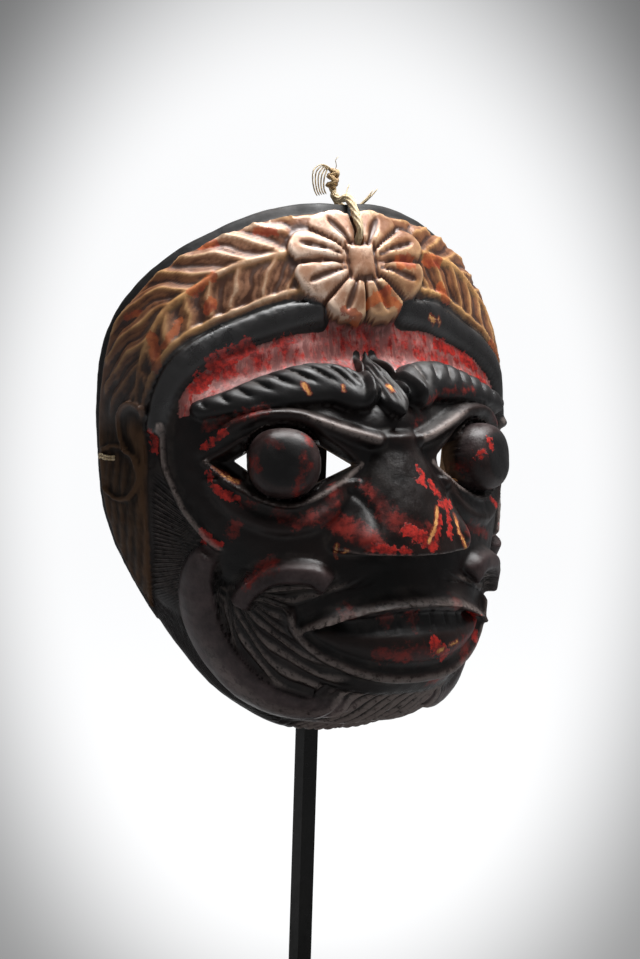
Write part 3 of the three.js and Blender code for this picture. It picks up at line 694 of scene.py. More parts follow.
def strokes(p, q, places, wider=0.0):
    """How far inside the nearest stroke each spot is; a stroke has two ends and a half width"""
    depth = np.full(p.shape, -3.0)
    for start_p, start_q, end_p, end_q, half in places:
        along, up = end_p - start_p, end_q - start_q
        t = np.clip(((p - start_p) * along + (q - start_q) * up) / (along ** 2 + up ** 2), 0, 1)
        depth = np.maximum(depth, half + wider - np.hypot(p - start_p - t * along, q - start_q - t * up))
    return np.clip(0.5 + depth / 6, 0, 1)


# Painted spots on the chart, each a stroke: its two ends and its half width
bright_places = [
    (-88, 18, -78, 25, 1.0), (-86, 6, -85, 3, 0.8), (-83, 0, -81, -2, 0.9), (-79, -3, -74, -5, 1.1),
    (-87, -22, -79, -27, 0.8), (-86, -23, -86, -27, 0.9), (2, 9, 4, 6, 0.7), (1, 4, 4, 3, 0.7),
    (7, 3, 11, -2, 1.1), (10, -5, 21, -6, 1.0), (14, -7, 11, -16, 0.8), (7, -9, 4, -15, 0.9),
    (-2, -18, 3, -16, 0.7), (-11, -20, -7, -20, 0.7), (46, 19, 46, 16, 0.9), (41, 14, 41, 12, 0.6),
    (63, -8, 68, -12, 1.2), (84, -24, 78, -28, 0.9), (-8, -13, 2, -18, 1.6), (6, -51, 12, -55, 1.6),
    (36, -50, 34, -57, 1.4), (-20, -19, -14, -20, 1.0), (-80, 58, -72, 63, 2.6), (-89, 47, -84, 53, 2.4),
    (-69, 65, -62, 69, 1.8), (-50, 71, -42, 73, 1.2), (50, 71, 64, 67, 2.0), (72, 63, 80, 57, 1.8),
]
dull_places = [
    (-66, 13, -65, 9, 1.0), (-59, 20, -56, 19, 0.7), (-47, 14, -46, 11, 0.6), (-45, 10, -48, 6, 0.9),
    (-49, 3, -49, -1, 1.1), (-44, 22, -44, 19, 0.7), (-73, -17, -74, -21, 1.8), (-69, -7, -67, -8, 0.9),
    (-64, -39, -62, -36, 0.8), (-60, -33, -56, -30, 1.4), (-31, 0, -34, -5, 1.8), (-28, -14, -23, -15, 2.7),
    (-25, -17, -21, -20, 1.4), (-16, -7, -16, -9, 1.4), (-43, -12, -37, -9, 1.8), (37, 10, 38, 8, 0.7),
    (10, 28, 17, 33, 0.7), (17, 37, 32, 42, 0.5), (32, 42, 55, 43, 0.5), (-74, 30, -69, 33, 1.1),
    (-86, 28, -82, 29, 1.4), (39, -17, 59, -24, 1.4), (17, -65, 10, -65, 1.4), (15, -55, 29, -52, 0.9),
    (-15, -54, 4, -53, 1.4), (-4, -53, 1, -55, 1.4), (-12, -45, -11, -45, 1.1), (-2, -44, -1, -45, 1.1),
    (-28, -44, -26, -43, 0.9), (18, -41, 20, -42, 0.9), (70, 30, 76, 27, 1.2), (24, -18, 28, -13, 1.8),
    (-12, -10, 2, -16, 3.0), (-34, -12, -20, -18, 3.0), (30, -50, 24, -60, 2.0), (-20, 2, -14, -6, 1.5),
    (-80, 30, -60, 35, 1.2), (-56, -10, -48, -14, 1.6),
]
wood_places = [
    (-32, -21, -32, -24, 0.5), (-32, -24, -31, -27, 0.5), (-29, -22, -29, -24, 0.7), (7, -6, 4, -12, 0.9),
    (4, -12, 0, -17, 0.9), (19, -10, 17, -15, 0.8), (17, -15, 20, -21, 1.0), (-84, 9, -80, 6, 0.5),
    (-80, 6, -73, 2, 0.7), (-43, 46, -41, 42, 1.2), (-25, 45, -25, 43, 0.8), (-2, 45, -2, 42, 0.9),
    (41, 80, 45, 78, 0.8), (47, 79, 49, 77, 0.7), (10, -53, 8, -53, 0.9), (13, -52, 18, -52, 0.5),
    (38, 3, 39, 2, 0.9), (29, -24, 31, -21, 0.8), (72, 8, 76, 10, 0.7),
]
gilt_red_places = [
    (-97, 64, -88, 76, 1.4), (-77, 80, -73, 84, 1.8), (-81, 86, -69, 93, 1.4), (-109, 79, -103, 81, 1.4),
    (-101, 69, -102, 54, 2.3), (-70, 105, -64, 105, 1.8), (-46, 108, -38, 107, 1.4),
    (-107, 43, -103, 40, 1.4), (2, 85, 12, 88, 2.3), (20, 97, 28, 97, 2.7), (10, 86, 23, 82, 1.8),
    (-14, 82, -5, 80, 1.8),
    (40, 99, 50, 99, 2.3), (49, 90, 55, 85, 2.3), (-110, 26, -113, 19, 1.4), (92, 66, 99, 56, 2.0),
]


def paint(mesh):
    """Keeps on the shell what the finish reads: the colour zones, the worn places, the painted highlights and
    the hair lines
    """
    ray = vertex_places(mesh) / mm - mask_centre
    radius = np.linalg.norm(ray, axis=1)
    ray = ray / radius[:, None]
    p, q = chart(ray)
    height, n = carving(p, q)
    blank = blank_radius(ray)
    behind = back_radius(p, q, ray)
    depth_share = (radius - behind) / np.maximum(blank + height - behind, 1)
    bare = ease(0.62, 0.3, depth_share)
    local = height - edge_average(mesh, height, 9)
    wide = height - edge_average(mesh, height, 60)
    raised = np.clip(0.5 + 0.55 * local + 0.10 * wide, 0, 1)
    # Share of the brighter gilding: dull and dark low on the band, bright towards its top
    gilt_up_share = ease(32, 90, q)
    gilt = np.maximum(n["gilt"], n["flower"])
    forehead = ease(-5.2, -6.6, n["roll_side"]) * n["above_brow"] * ease(103, 92, np.abs(p))
    forehead = forehead * (1 - ease(0.05, 0.4, n["fold"]))
    for covered in ("flower", "gilt", "leaf", "roll"):
        forehead = forehead * (1 - n[covered])
    bright = strokes(p, q, bright_places, 0.7)
    dull = strokes(p, q, dull_places, 1.7)
    wood = strokes(p, q, wood_places)
    ear_spot = strokes(p, q, [(-110.5, 25, -112, 17, 2.2)])
    gilt = gilt * ease(0.62, 0.42, ear_spot)
    bright = np.maximum(bright, ear_spot)
    black = np.maximum.reduce([n["roll"], n["brow"], n["strip"], n["leaf"], n["pupil"], 0.8 * n["parted"]])
    plum = np.maximum.reduce([n["jaw"], 0.9 * n["lobe"], 0.45 * n["knob"] * (1 - n["pupil"])])
    between_cuts = 0.5 + 0.5 * np.cos(2 * math.pi * n["phase"])
    # Light-coloured marks: on the crest, the lids, the nose edge, the lips, the chin ring and the cheek and
    # jaw ridges a painted highlight; on the brow strokes, leaf veins and the tops between hair cuts partly
    # worn paint and partly painted highlight
    pale_wear_and_highlight = np.maximum.reduce([
        0.75 * n["brow_stroke"], 0.6 * n["leaf_veins"], 0.8 * n["nose_edge"], 0.6 * n["lids"],
        0.8 * n["chin_ring"], 0.6 * n["upper_lip"], 1.1 * n["cheek_ridge"],
        1.3 * n["chin_hatch"] * np.sqrt(between_cuts), n["crest"], 0.55 * n["jaw_ridge"],
        0.8 * np.maximum(n["beard"], n["sideburn"]) * between_cuts,
    ])
    store(mesh, "paint", [gilt, bright, dull, wood])
    store(mesh, "zones", [black, plum, forehead, n["side_strip"]])
    # Painted highlight where the overhead light falls: the flower's left and upper petals and the leaves just
    # left of it take the light petal tone, and its boss takes it too
    painted_sheen = n["flower"] * (0.12 + 0.88 * ease(18, -22, p + 0.5 * (flower_up - q)))
    painted_sheen = np.maximum(painted_sheen, 0.75 * n["boss"])
    painted_sheen = np.maximum(painted_sheen, 0.5 * n["gilt"] * (1 - n["flower"]) * ease(-30, -42, p) * ease(-86, -62, p))
    pale_wear_and_highlight = edge_average(mesh, np.clip(pale_wear_and_highlight, 0, 1), 1)
    store(mesh, "wear_and_highlight", [raised, bare, gilt_up_share, pale_wear_and_highlight])
    store(mesh, "strokes", [n["phase"], n["depth"], strokes(p, q, gilt_red_places), painted_sheen])
    store(mesh, "flower", [n["groove"], edge_average(mesh, n["gold"], 1), n["roll"], n["strip"]])


def centre_frames(line, closed):
    """A tangent and two cross directions at each point of a line, turned as little as possible"""
    ahead = np.gradient(line, axis=0)
    if closed:
        ahead[0] = ahead[-1] = line[1] - line[-2]
    ahead /= np.linalg.norm(ahead, axis=1)[:, None]
    first = np.cross(ahead[0], [0.31, 0.17, 0.93])
    normals = [first / np.linalg.norm(first)]
    for tangent in ahead[1:]:
        carried = normals[-1] - tangent * normals[-1].dot(tangent)
        normals.append(carried / np.linalg.norm(carried))
    normals = np.array(normals)
    sides = np.cross(ahead, normals)
    miss = math.atan2(normals[0].dot(sides[-1]), normals[0].dot(normals[-1])) if closed else 0
    turn = np.linspace(0, miss, len(line))[:, None]
    return (normals * np.cos(turn) + sides * np.sin(turn), sides * np.cos(turn) - normals * np.sin(turn))


def strand(name, line, radius, around=10, strands=1, twist=0.0, closed=False, flat=1.0, point=1.0, swell=1.0):
    """A tube along a line in millimetres; strands cuts its section into that many threads"""
    normals, sides = centre_frames(line, closed)
    run = np.r_[0, np.cumsum(np.linalg.norm(np.diff(line, axis=0), axis=1))]
    thick = radius * swell * (1 + 0.08 * np.sin(run / radius * 0.9 + len(line)))
    if not closed:
        thick = thick * np.minimum(1, np.sqrt(np.minimum(run / radius, (run[-1] - run) / (radius * point))))

    def place(u, v):
        i = np.rint(v * (len(line) - 1)).astype(int)
        angle = round_turn(u)
        groove = np.abs(np.cos(strands / 2 * (angle + twist * run[i]))) if strands > 1 else 1
        reach = thick[i] * (0.62 + 0.38 * groove)
        across = (reach * np.cos(angle))[:, None] * normals[i]
        return line[i] + across + (reach * flat * np.sin(angle))[:, None] * sides[i]

    return grid_mesh(name, around, len(line) - 1, place)


# Shader helpers
def link(tree, source, socket):
    """Sets a socket to a value, or joins it to another socket"""
    if isinstance(source, bpy.types.NodeSocket):
        tree.links.new(source, socket)
    elif source is not None:
        socket.default_value = source


def math_node(tree, operation, a, b=None, c=None):
    node = tree.nodes.new("ShaderNodeMath")
    node.operation = operation
    for value, socket in zip((a, b, c), node.inputs):
        link(tree, value, socket)
    return node.outputs[0]


def between(tree, value, low, high, start=0.0, end=1.0):
    node = tree.nodes.new("ShaderNodeMapRange")
    node.interpolation_type = "SMOOTHSTEP"
    for given, socket in zip((value, low, high, start, end), node.inputs):
        link(tree, given, socket)
    return node.outputs[0]


def blend(tree, share, a, b):
    node = tree.nodes.new("ShaderNodeMix")
    node.data_type = "RGBA"
    link(tree, share, node.inputs[0])
    link(tree, (*a, 1) if isinstance(a, tuple) else a, node.inputs[6])
    link(tree, (*b, 1) if isinstance(b, tuple) else b, node.inputs[7])
    return node.outputs[2]


def grain(tree, vector, scale, detail=4.0, rough=0.55, stretch=None):
    if stretch:
        mapping = tree.nodes.new("ShaderNodeMapping")
        link(tree, vector, mapping.inputs[0])
        mapping.inputs[3].default_value = stretch
        vector = mapping.outputs[0]
    node = tree.nodes.new("ShaderNodeTexNoise")
    link(tree, vector, node.inputs["Vector"])
    node.inputs["Scale"].default_value = scale
    node.inputs["Detail"].default_value = detail
    node.inputs["Roughness"].default_value = rough
    return node.outputs[0]


def bump(tree, height, depth, normal=None):
    node = tree.nodes.new("ShaderNodeBump")
    node.inputs["Distance"].default_value = depth
    link(tree, height, node.inputs["Height"])
    link(tree, normal, node.inputs["Normal"])
    return node.outputs[0]


def attribute(tree, name):
    """The parts of a stored colour: red, green, blue and alpha"""
    node = tree.nodes.new("ShaderNodeAttribute")
    node.attribute_name = name
    split = tree.nodes.new("ShaderNodeSeparateColor")
    tree.links.new(node.outputs["Color"], split.inputs[0])
    return (*split.outputs, node.outputs["Alpha"])


def new_material(name):
    material = bpy.data.materials.new(name)
    material.use_nodes = True
    tree = material.node_tree
    tree.nodes.clear()
    shader = tree.nodes.new("ShaderNodeBsdfPrincipled")
    output = tree.nodes.new("ShaderNodeOutputMaterial")
    tree.links.new(shader.outputs[0], output.inputs[0])
    places = tree.nodes.new("ShaderNodeTexCoord").outputs["Object"]
    return material, tree, shader, places


def new_group(name, inputs, outputs):
    tree = bpy.data.node_groups.new(name, "ShaderNodeTree")
    for label, kind in inputs:
        tree.interface.new_socket(name=label, in_out="INPUT", socket_type=kind)
    for label, kind in outputs:
        tree.interface.new_socket(name=label, in_out="OUTPUT", socket_type=kind)
    return tree, tree.nodes.new("NodeGroupInput"), tree.nodes.new("NodeGroupOutput")


def dust_group():
    """Dust that lies on what faces up and in the low places"""
    inputs = [("Place", "NodeSocketVector"), ("Low", "NodeSocketFloat")]
    tree, given, result = new_group("settled_dust", inputs, [("Dust", "NodeSocketFloat")])
    facing = tree.nodes.new("ShaderNodeNewGeometry").outputs["Normal"]
    split = tree.nodes.new("ShaderNodeSeparateXYZ")
    link(tree, facing, split.inputs[0])
    upward = between(tree, split.outputs[2], 0.2, 1.0)
    cloud = between(tree, grain(tree, given.outputs[0], 90, 5, 0.6), 0.42, 0.66)
    both = math_node(tree, "MULTIPLY", cloud, math_node(tree, "MAXIMUM", upward, given.outputs[1]))
    link(tree, both, result.inputs[0])
    return tree


def use_group(tree, group, *values):
    node = tree.nodes.new("ShaderNodeGroup")
    node.node_tree = group
    for value, socket in zip(values, node.inputs):
        link(tree, value, socket)
    return node.outputs[0]


# Finishes
def painted_wood(dust):
    material, tree, shader, places = new_material("painted_wood")
    gilt, bright, dull, wood = attribute(tree, "paint")
    black, plum, forehead, side_strip = attribute(tree, "zones")
    raised, bare, gilt_up_share, pale_wear_and_highlight = attribute(tree, "wear_and_highlight")
    phase, depth, gilt_red, painted_sheen = attribute(tree, "strokes")
    groove, gold, roll, strip = attribute(tree, "flower")
    cloud = grain(tree, places, 34, 5, 0.6)
    mottle = grain(tree, places, 120, 6, 0.65)
    ragged = grain(tree, places, 420, 7, 0.7)
    speck = grain(tree, places, 1100, 4, 0.7)
    fibre = grain(tree, places, 420, 5, 0.6, (1, 1, 0.12))

    def product(a, b):
        return math_node(tree, "MULTIPLY", a, b)

    def total(a, b):
        return math_node(tree, "ADD", a, b)

    def torn(mask, amount):
        """A mask whose edge is eaten away by the noise"""
        return total(mask, product(math_node(tree, "SUBTRACT", ragged, 0.5), amount))

    # Ground: black lacquer gone brown where it is handled
    worn = between(tree, total(raised, product(mottle, 0.5)), 0.68, 1.1)
    ground = blend(tree, between(tree, cloud, 0.35, 0.65), (0.0022, 0.0018, 0.0017), (0.0075, 0.0032, 0.0027))
    ground = blend(tree, product(worn, 0.55), ground, (0.017, 0.0078, 0.0062))
    plum_tone = blend(tree, between(tree, mottle, 0.3, 0.7), (0.020, 0.012, 0.0125), (0.075, 0.052, 0.052))
    ground = blend(tree, product(plum, 0.85), ground, plum_tone)
    black_tone = blend(tree, product(worn, 0.3), (0.0035, 0.0035, 0.0038), (0.024, 0.022, 0.022))
    ground = blend(tree, product(black, 0.9), ground, black_tone)

    # Crimson: streaky on the forehead, ragged remains elsewhere
    streak = between(tree, total(product(fibre, 0.6), product(mottle, 0.6)), 0.52, 0.70)
    crimson = blend(tree, between(tree, ragged, 0.4, 0.62), (0.13, 0.008, 0.007), (0.42, 0.022, 0.015))
    mauve = blend(tree, between(tree, fibre, 0.4, 0.6), (0.19, 0.068, 0.062), (0.42, 0.20, 0.18))
    mauve = blend(tree, streak, mauve, crimson)
    tone = blend(tree, between(tree, torn(forehead, 0.9), 0.42, 0.62), ground, mauve)
    dull_kept = between(tree, torn(dull, 2.2), 0.48, 0.95)
    dull_red = blend(tree, between(tree, mottle, 0.42, 0.62), (0.040, 0.006, 0.005), (0.19, 0.016, 0.011))
    tone = blend(tree, product(dull_kept, 0.9), tone, dull_red)
    bright_kept = between(tree, torn(bright, 1.3), 0.49, 0.56)
    tone = blend(tree, bright_kept, tone, crimson)

    # Gilding over red, dark in its grooves and bright on its ridges: partly real rubbing and darkening of the
    # gilding, partly painted shade in the grooves and painted highlight on the ridges
    wear_and_painted_light = total(raised, product(math_node(tree, "SUBTRACT", mottle, 0.5), 0.8))
    bronze = blend(tree, between(tree, wear_and_painted_light, 0.25, 0.60), (0.040, 0.014, 0.008), (0.19, 0.072, 0.028))
    bronze = blend(tree, between(tree, wear_and_painted_light, 0.60, 1.0), bronze, (0.46, 0.25, 0.11))
    # Brighter gold along the leaf ribs, the stems and the bead above the roll: partly gilding, partly painted
    # highlight on these ridges
    gold_line = product(gold, between(tree, mottle, 0.38, 0.56, 0.35, 1.0))
    bronze = blend(tree, gold_line, bronze, (0.56, 0.31, 0.115))
    # Petal tone: dark brown in the grooves, rising to a whitish painted highlight on the raised parts
    petal = blend(tree, between(tree, wear_and_painted_light, 0.34, 0.62), (0.10, 0.038, 0.018), (0.38, 0.20, 0.12))
    petal = blend(tree, between(tree, wear_and_painted_light, 0.60, 0.95), petal, (0.72, 0.54, 0.42))
    stain = between(tree, total(product(ragged, 0.6), product(mottle, 0.5)), 0.56, 0.66)
    petal = blend(tree, product(stain, 0.55), petal, (0.17, 0.062, 0.030))
    # Painted highlight: the petal tone replaces the bronze on the flower's left and upper petals, its boss
    # and the leaves beside it
    bronze = blend(tree, painted_sheen, bronze, petal)
    # Darker in the flower's grooves: partly darker gilding, partly painted shade
    bronze = blend(tree, product(groove, 0.9), bronze, (0.060, 0.024, 0.013))
    orange = blend(tree, between(tree, mottle, 0.4, 0.6), (0.26, 0.035, 0.012), (0.46, 0.105, 0.022))
    bronze = blend(tree, product(between(tree, torn(gilt_red, 0.9), 0.48, 0.60), 0.8), bronze, orange)
    # Dark, dull gilding used low on the band
    gilt_low_tone = blend(tree, between(tree, wear_and_painted_light, 0.3, 0.85), (0.012, 0.0065, 0.005), (0.075, 0.036, 0.021))
    bronze = blend(tree, gilt_up_share, gilt_low_tone, bronze)
    brown = blend(tree, between(tree, total(product(raised, 0.5), product(fibre, 0.5)), 0.35, 0.7),
                  (0.009, 0.005, 0.0028), (0.075, 0.040, 0.020))
    bronze = blend(tree, product(side_strip, 0.85), bronze, brown)
    tone = blend(tree, between(tree, gilt, 0.05, 0.5), tone, bronze)

    # Bare wood in the chips; light-coloured marks on the ridges, partly worn scratches and partly painted
    # highlight; dust
    chipped = between(tree, torn(wood, 0.5), 0.50, 0.56)
    chip_edge = between(tree, torn(wood, 0.5), 0.40, 0.50)
    ochre = blend(tree, between(tree, fibre, 0.4, 0.6), (0.38, 0.13, 0.035), (0.60, 0.29, 0.09))
    tone = blend(tree, product(chip_edge, 0.7), tone, (0.20, 0.030, 0.012))
    tone = blend(tree, chipped, tone, ochre)
    scratch_and_highlight = between(tree, product(pale_wear_and_highlight, between(tree, ragged, 0.2, 0.55)), 0.2, 0.9)
    tone = blend(tree, product(scratch_and_highlight, 0.6), tone, (0.27, 0.22, 0.20))
    low = between(tree, raised, 0.42, 0.2)
    settled = use_group(tree, dust, places, low)
    tone = blend(tree, product(settled, 0.10), tone, (0.20, 0.17, 0.15))
    inside = blend(tree, between(tree, fibre, 0.35, 0.65), (0.10, 0.055, 0.03), (0.22, 0.13, 0.07))
    tone = blend(tree, bare, tone, inside)
    link(tree, tone, shader.inputs["Base Color"])

    gloss = between(tree, mottle, 0.3, 0.75, 0.28, 0.50)
    gloss = total(gloss, product(math_node(tree, "SUBTRACT", product(black, 0.5), roll), 0.12))
    gloss = total(gloss, product(total(side_strip, strip), 0.14))
    gloss = total(gloss, total(product(settled, 0.2), total(product(bare, 0.4), product(chipped, 0.3))))
    link(tree, gloss, shader.inputs["Roughness"])
    link(tree, product(product(gilt, gilt_up_share), 0.15), shader.inputs["Metallic"])
    shine = total(0.27, total(product(gilt, 0.25), product(roll, 0.45)))
    shine = math_node(tree, "SUBTRACT", shine, product(side_strip, 0.42))
    link(tree, shine, shader.inputs["Specular IOR Level"])

    wave = math_node(tree, "SINE", product(phase, 4 * math.pi))
    hair = product(product(wave, depth), 0.5)
    relief = total(total(hair, product(speck, 0.22)), product(mottle, 0.5))
    relief = math_node(tree, "SUBTRACT", relief, product(chipped, 0.6))
    relief = total(relief, product(bright_kept, 0.12))
    relief = total(relief, product(product(fibre, bare), 1.2))
    link(tree, bump(tree, relief, 0.0004), shader.inputs["Normal"])
    return material


def black_steel(dust):
    material, tree, shader, places = new_material("black_steel")
    mottle = grain(tree, places, 240, 5, 0.6)
    speck = grain(tree, places, 1500, 3, 0.6)
    settled = use_group(tree, dust, places, 0.15)
    tone = blend(tree, mottle, (0.0035, 0.0035, 0.003), (0.008, 0.008, 0.007))
    tone = blend(tree, math_node(tree, "MULTIPLY", settled, 0.10), tone, (0.2, 0.19, 0.17))
    link(tree, tone, shader.inputs["Base Color"])
    link(tree, between(tree, mottle, 0.3, 0.7, 0.26, 0.42), shader.inputs["Roughness"])
    shader.inputs["Specular IOR Level"].default_value = 0.18
    link(tree, bump(tree, speck, 0.00006), shader.inputs["Normal"])
    return material


def felt():
    material, tree, shader, places = new_material("felt")
    fuzz = grain(tree, places, 1800, 6, 0.75)
    tone = blend(tree, fuzz, (0.008, 0.007, 0.006), (0.035, 0.031, 0.027))
    link(tree, tone, shader.inputs["Base Color"])
    shader.inputs["Roughness"].default_value = 0.97
    shader.inputs["Sheen Weight"].default_value = 0.4
    link(tree, bump(tree, fuzz, 0.0005), shader.inputs["Normal"])
    return material


def straw(name, dark, light):
    """Dry plant fibre, streaked along its length and browner here and there"""
    material, tree, shader, places = new_material(name)
    streak = grain(tree, places, 900, 5, 0.65, (1, 1, 0.25))
    cloud = grain(tree, places, 260, 4, 0.6)
    tone = blend(tree, between(tree, streak, 0.32, 0.62), dark, light)
    brown = tuple(x * 0.55 for x in dark)
    tone = blend(tree, between(tree, cloud, 0.56, 0.72), tone, brown)
    link(tree, tone, shader.inputs["Base Color"])
    shader.inputs["Roughness"].default_value = 0.62
    shader.inputs["Sheen Weight"].default_value = 0.15
    link(tree, bump(tree, streak, 0.0003), shader.inputs["Normal"])
    return material


# Ties
def wound_knot(centre):
    """Turns of fibre wound round and round, as one closed line"""
    t = np.linspace(0, 2 * math.pi, 401)
    reach = 1.7 * np.sqrt(1 - 0.5 * np.sin(t) ** 2)
    turns = np.stack([reach * np.cos(5 * t + 0.4), reach * np.sin(5 * t + 0.4), 3.2 * np.sin(t)], axis=1)
    turns[:, 2] += 0.5 * turns[:, 0] * np.cos(t)
    lean = np.array(Matrix.Rotation(0.2, 3, "Y"))
    return turns @ lean.T + centre


def thread(points, radius, point):
    """One loose fibre that tapers to its far end over so many radii"""
    return strand("thread", even_line(smooth_line(points, 10), 0.4), radius, 6, flat=0.7, point=point)


def make_ties(pale_straw, brown_straw):
    route = np.array(tie_route) / mm
    line = even_line(smooth_line(route, 12), 0.35)
    swell = 1 + 0.22 * hump((np.linspace(0, 1, len(line)) - 0.17) / 0.13)
    rope = strand("tie", line, tie_width / 2 / mm, 24, strands=6, twist=0.22, swell=swell)
    tie = shown("tie_strand_fibres", joined([rope], weld=1e-6), pale_straw, 80)
    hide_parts("tie_strand")
    knot = joined([strand("knot", wound_knot(knot_centre), 1.05, 12, strands=4, closed=True)], weld=1e-6)
    knot_piece = shown("tie_knot_wound", knot, brown_straw, 80)
    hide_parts("tie_knot")

    loops = []
    for k in range(5):
        shrink = 1 - 0.14 * k
        loops.append([
            (-0.4, -6.4 + 0.2 * k, 356.8), (-3, -6, 358.6 - 0.3 * k), (-6.2 * shrink, -6, 358.8 - 0.5 * k),
            (-9 * shrink, -6 - 0.1 * k, 356.6 - 0.6 * k), (-9.4 * shrink, -6.2, 352.6 - 0.3 * k),
            (-8.4 * shrink, -6.2, 348.8), (-7.2 + 1.1 * k, -6.6, 346.4 + 0.22 * k),
        ])
    neck = [[(x, -6.4, 350.4), (0.6 * x - 0.2, -7.2, 349), (0.3 * x - 0.4, -8.1, 347.9)]
            for x in (-1.2, 0, 1.2)]
    neck += [[(x, -6, 350.2), (0.5 * x + 0.5, -5.3, 349), (0.3 * x + 0.9, -4.8, 348)] for x in (-0.8, 0.8)]
    hairs = [
        [(0.8, -6, 356.6), (1.8, -6, 358.6), (1.4, -6, 361), (2.8, -6, 362.6)],
        [(1.5, -14, 347.2), (3, -12.6, 349.6), (5, -11, 351.8)],
    ]
    tuft = [
        [(3.4, -4.8, 345), (8, -5, 342.8), (12.6, -6.5, 343.2), (16, -7.6, 345.8), (18.6, -8.2, 348.2),
         (20.6, -8.4, 350.4)],
        [(3.2, -4.8, 344.6), (8, -4.8, 342.4), (12.2, -6, 342.8), (15.2, -7.2, 345.4), (17.2, -7.8, 347.8),
         (18.8, -8, 349.8)],
        [(3, -4.8, 344.2), (8, -4.6, 342), (12.8, -5.6, 342.6), (15.8, -7, 345), (17.6, -7.4, 346.8),
         (19.8, -7.6, 348.6)],
    ]
    meshes = [thread(points, 0.38, 3) for points in loops] + [thread(points, 0.8, 1) for points in neck]
    meshes += [thread(points, 0.24, 6) for points in hairs] + [thread(points, 0.6, 7) for points in tuft]
    loose = shown("tie_loose_threads", joined(meshes, weld=1e-6), pale_straw, 80)


def skin_places(p, q, lift):
    """Places over the carved skin, so many millimetres above it"""
    ray = direction(p, q)
    height, _ = carving(p, q)
    return ray * (blank_radius(ray) + height + lift)[:, None] + mask_centre


def make_side_tie(hand, material):
    name = "side_tie_left" if hand < 0 else "side_tie_right"
    share = np.linspace(-1, 1, 9)
    across = 138 + share * 5.1
    meshes = []
    for up, rise in ((12.9, 1.1), (11.3, 1.4)):
        lift = 0.5 + rise * (1 - share ** 2) - 0.9 * share ** 8
        places = skin_places(hand * across, up + 0.5 * np.sin(share * 3), lift)
        line = even_line(smooth_line(places, 6), 0.35)
        meshes.append(strand("stitch", line, 0.55, 8, strands=3, twist=0.5))
    stitch = shown(name + "_stitch", joined(meshes, weld=1e-6), material, 80)
    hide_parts(name)


# Felt pads of the stand
def make_pad(name, material):
    places = vertex_places(frame["nodes"][name].data) / mm
    centre = places.mean(axis=0)
    _, _, turn = np.linalg.svd(places - centre)
    radius, half = 8.0, 1.25

    def place(u, v):
        angle = round_turn(u)
        round_edge = math.pi * v
        reach = radius * np.minimum(1, 1.02 * np.sin(round_edge) ** 0.35)
        reach = np.where((v < 0.001) | (v > 0.999), 0, reach)
        deep = half * np.sign(np.cos(round_edge)) * np.abs(np.cos(round_edge)) ** 0.3
        spots = reach[:, None] * (np.cos(angle)[:, None] * turn[0] + np.sin(angle)[:, None] * turn[1])
        spots = spots + deep[:, None] * turn[2]
        return centre + spots * (1 + 0.012 * noise(spots + 50, 1.3, 31))[:, None]

    pad = shown(name + "_felt", joined([grid_mesh(name, 72, 40, place)], weld=1e-6), material, 60)
    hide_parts(name)


# Backdrop and lights
def backdrop_place(u, v):
    """A round bowl in millimetres: flat floor, a bend and an upright wall"""
    floor, bend_radius, whole_run = 2000, 500, 5200
    run = v * whole_run
    bend = np.clip((run - floor) / bend_radius, 0, math.pi / 2)
    reach = np.minimum(run, floor) + bend_radius * np.sin(bend)
    rise = bend_radius * (1 - np.cos(bend)) + np.maximum(run - floor - bend_radius * math.pi / 2, 0)
    angle = round_turn(u)
    return np.stack([reach * np.cos(angle), reach * np.sin(angle), rise], axis=1)


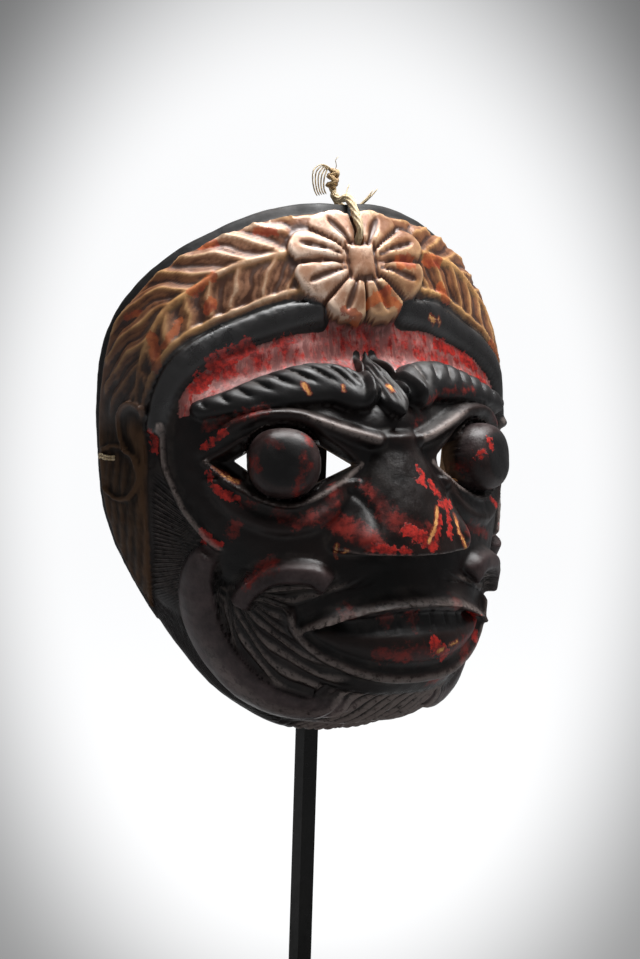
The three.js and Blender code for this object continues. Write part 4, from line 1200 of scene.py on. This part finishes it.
def make_backdrop():
    """Grey paper that gives off its own painted light: brightest behind the mask and darker to the corners of
    the picture, a painted vignette, and faint everywhere else
    """
    material, tree, shader, places = new_material("paper_painted_glow")
    right, up, back, eye = camera_frame()
    away = tree.nodes.new("ShaderNodeVectorMath")
    away.operation = "SUBTRACT"
    link(tree, places, away.inputs[0])
    away.inputs[1].default_value = eye

    def along(axis):
        node = tree.nodes.new("ShaderNodeVectorMath")
        node.operation = "DOT_PRODUCT"
        link(tree, away.outputs[0], node.inputs[0])
        node.inputs[1].default_value = axis
        return node.outputs["Value"]

    def in_picture(axis, scale, shift):
        """How far a place lies from the middle of the picture, in halves of the picture's side"""
        seen = math_node(tree, "DIVIDE", math_node(tree, "MULTIPLY", along(axis), scale), deep)
        return math_node(tree, "ADD", seen, shift)

    deep = math_node(tree, "MAXIMUM", along(-back), 0.05)
    across = in_picture(right, 9.112, -0.138)
    upward = in_picture(up, 6.075, 0.025)
    squares = [math_node(tree, "MULTIPLY", side, side) for side in (across, upward)]
    reach = math_node(tree, "SQRT", math_node(tree, "ADD", *squares))
    ahead = math_node(tree, "GREATER_THAN", along(-back), 0.3)
    # Painted light from the paper itself: strong behind the mask, faint elsewhere
    bright_painted_glow, faint_painted_glow = 0.95, 0.16
    painted_glow = math_node(tree, "MULTIPLY", between(tree, reach, 0.8, 1.45, bright_painted_glow, faint_painted_glow), ahead)
    painted_glow = math_node(tree, "MAXIMUM", painted_glow, faint_painted_glow)
    link(tree, painted_glow, shader.inputs["Emission Strength"])
    shader.inputs["Emission Color"].default_value = (0.985, 0.99, 1, 1)
    paper = blend(tree, between(tree, reach, 1.4, 2.2), (0.10, 0.10, 0.10), (0.26, 0.26, 0.265))
    link(tree, paper, shader.inputs["Base Color"])
    shader.inputs["Roughness"].default_value = 0.9
    shader.inputs["Specular IOR Level"].default_value = 0
    backdrop = new_object("backdrop", joined([grid_mesh("backdrop", 96, 52, backdrop_place)], weld=1e-5))
    backdrop.data.shade_smooth()
    backdrop.data.materials.append(material)


def make_light(name, place, size, power):
    """A soft panel that faces the mask; place and size in metres, power in watts"""
    data = bpy.data.lights.new(name, "AREA")
    data.shape = "RECTANGLE"
    data.size, data.size_y = size
    data.energy = power
    light = bpy.data.objects.new(name, data)
    light.location = place
    light.rotation_euler = (Vector(place) - Vector(mask_centre * mm)).to_track_quat("Z", "Y").to_euler()
    scene.collection.objects.link(light)


def light_scene():
    world = bpy.data.worlds.new("studio")
    world.use_nodes = True
    background = world.node_tree.nodes["Background"]
    background.inputs[0].default_value = (0.95, 0.97, 1, 1)
    background.inputs[1].default_value = 0.04
    scene.world = world
    make_light("overhead", (0.16, -0.06, 0.98), (0.5, 0.55), 18)
    make_light("front", (0.25, -0.6, 1.15), (0.3, 0.3), 0.5)
    scene.view_settings.view_transform = "Standard"
    scene.view_settings.look = "None"


# Build
set_camera()
dust = dust_group()
steel = black_steel(dust)
pale_straw = straw("pale_straw", (0.33, 0.22, 0.10), (0.66, 0.53, 0.33))
brown_straw = straw("brown_straw", (0.22, 0.12, 0.045), (0.50, 0.34, 0.16))
make_ties(pale_straw, brown_straw)

mask = shown("mask_carved", carved_shell(), painted_wood(dust), 60)
paint(mask.data)
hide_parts("mask")
for hand in (-1, 1):
    make_side_tie(hand, pale_straw)
felt_finish = felt()
for name in ("pad_upper", "pad_lower"):
    make_pad(name, felt_finish)
for name in ("stand_foot", "stand_rod"):
    frame["nodes"][name].data.materials.clear()
    frame["nodes"][name].data.materials.append(steel)
make_backdrop()
light_scene()
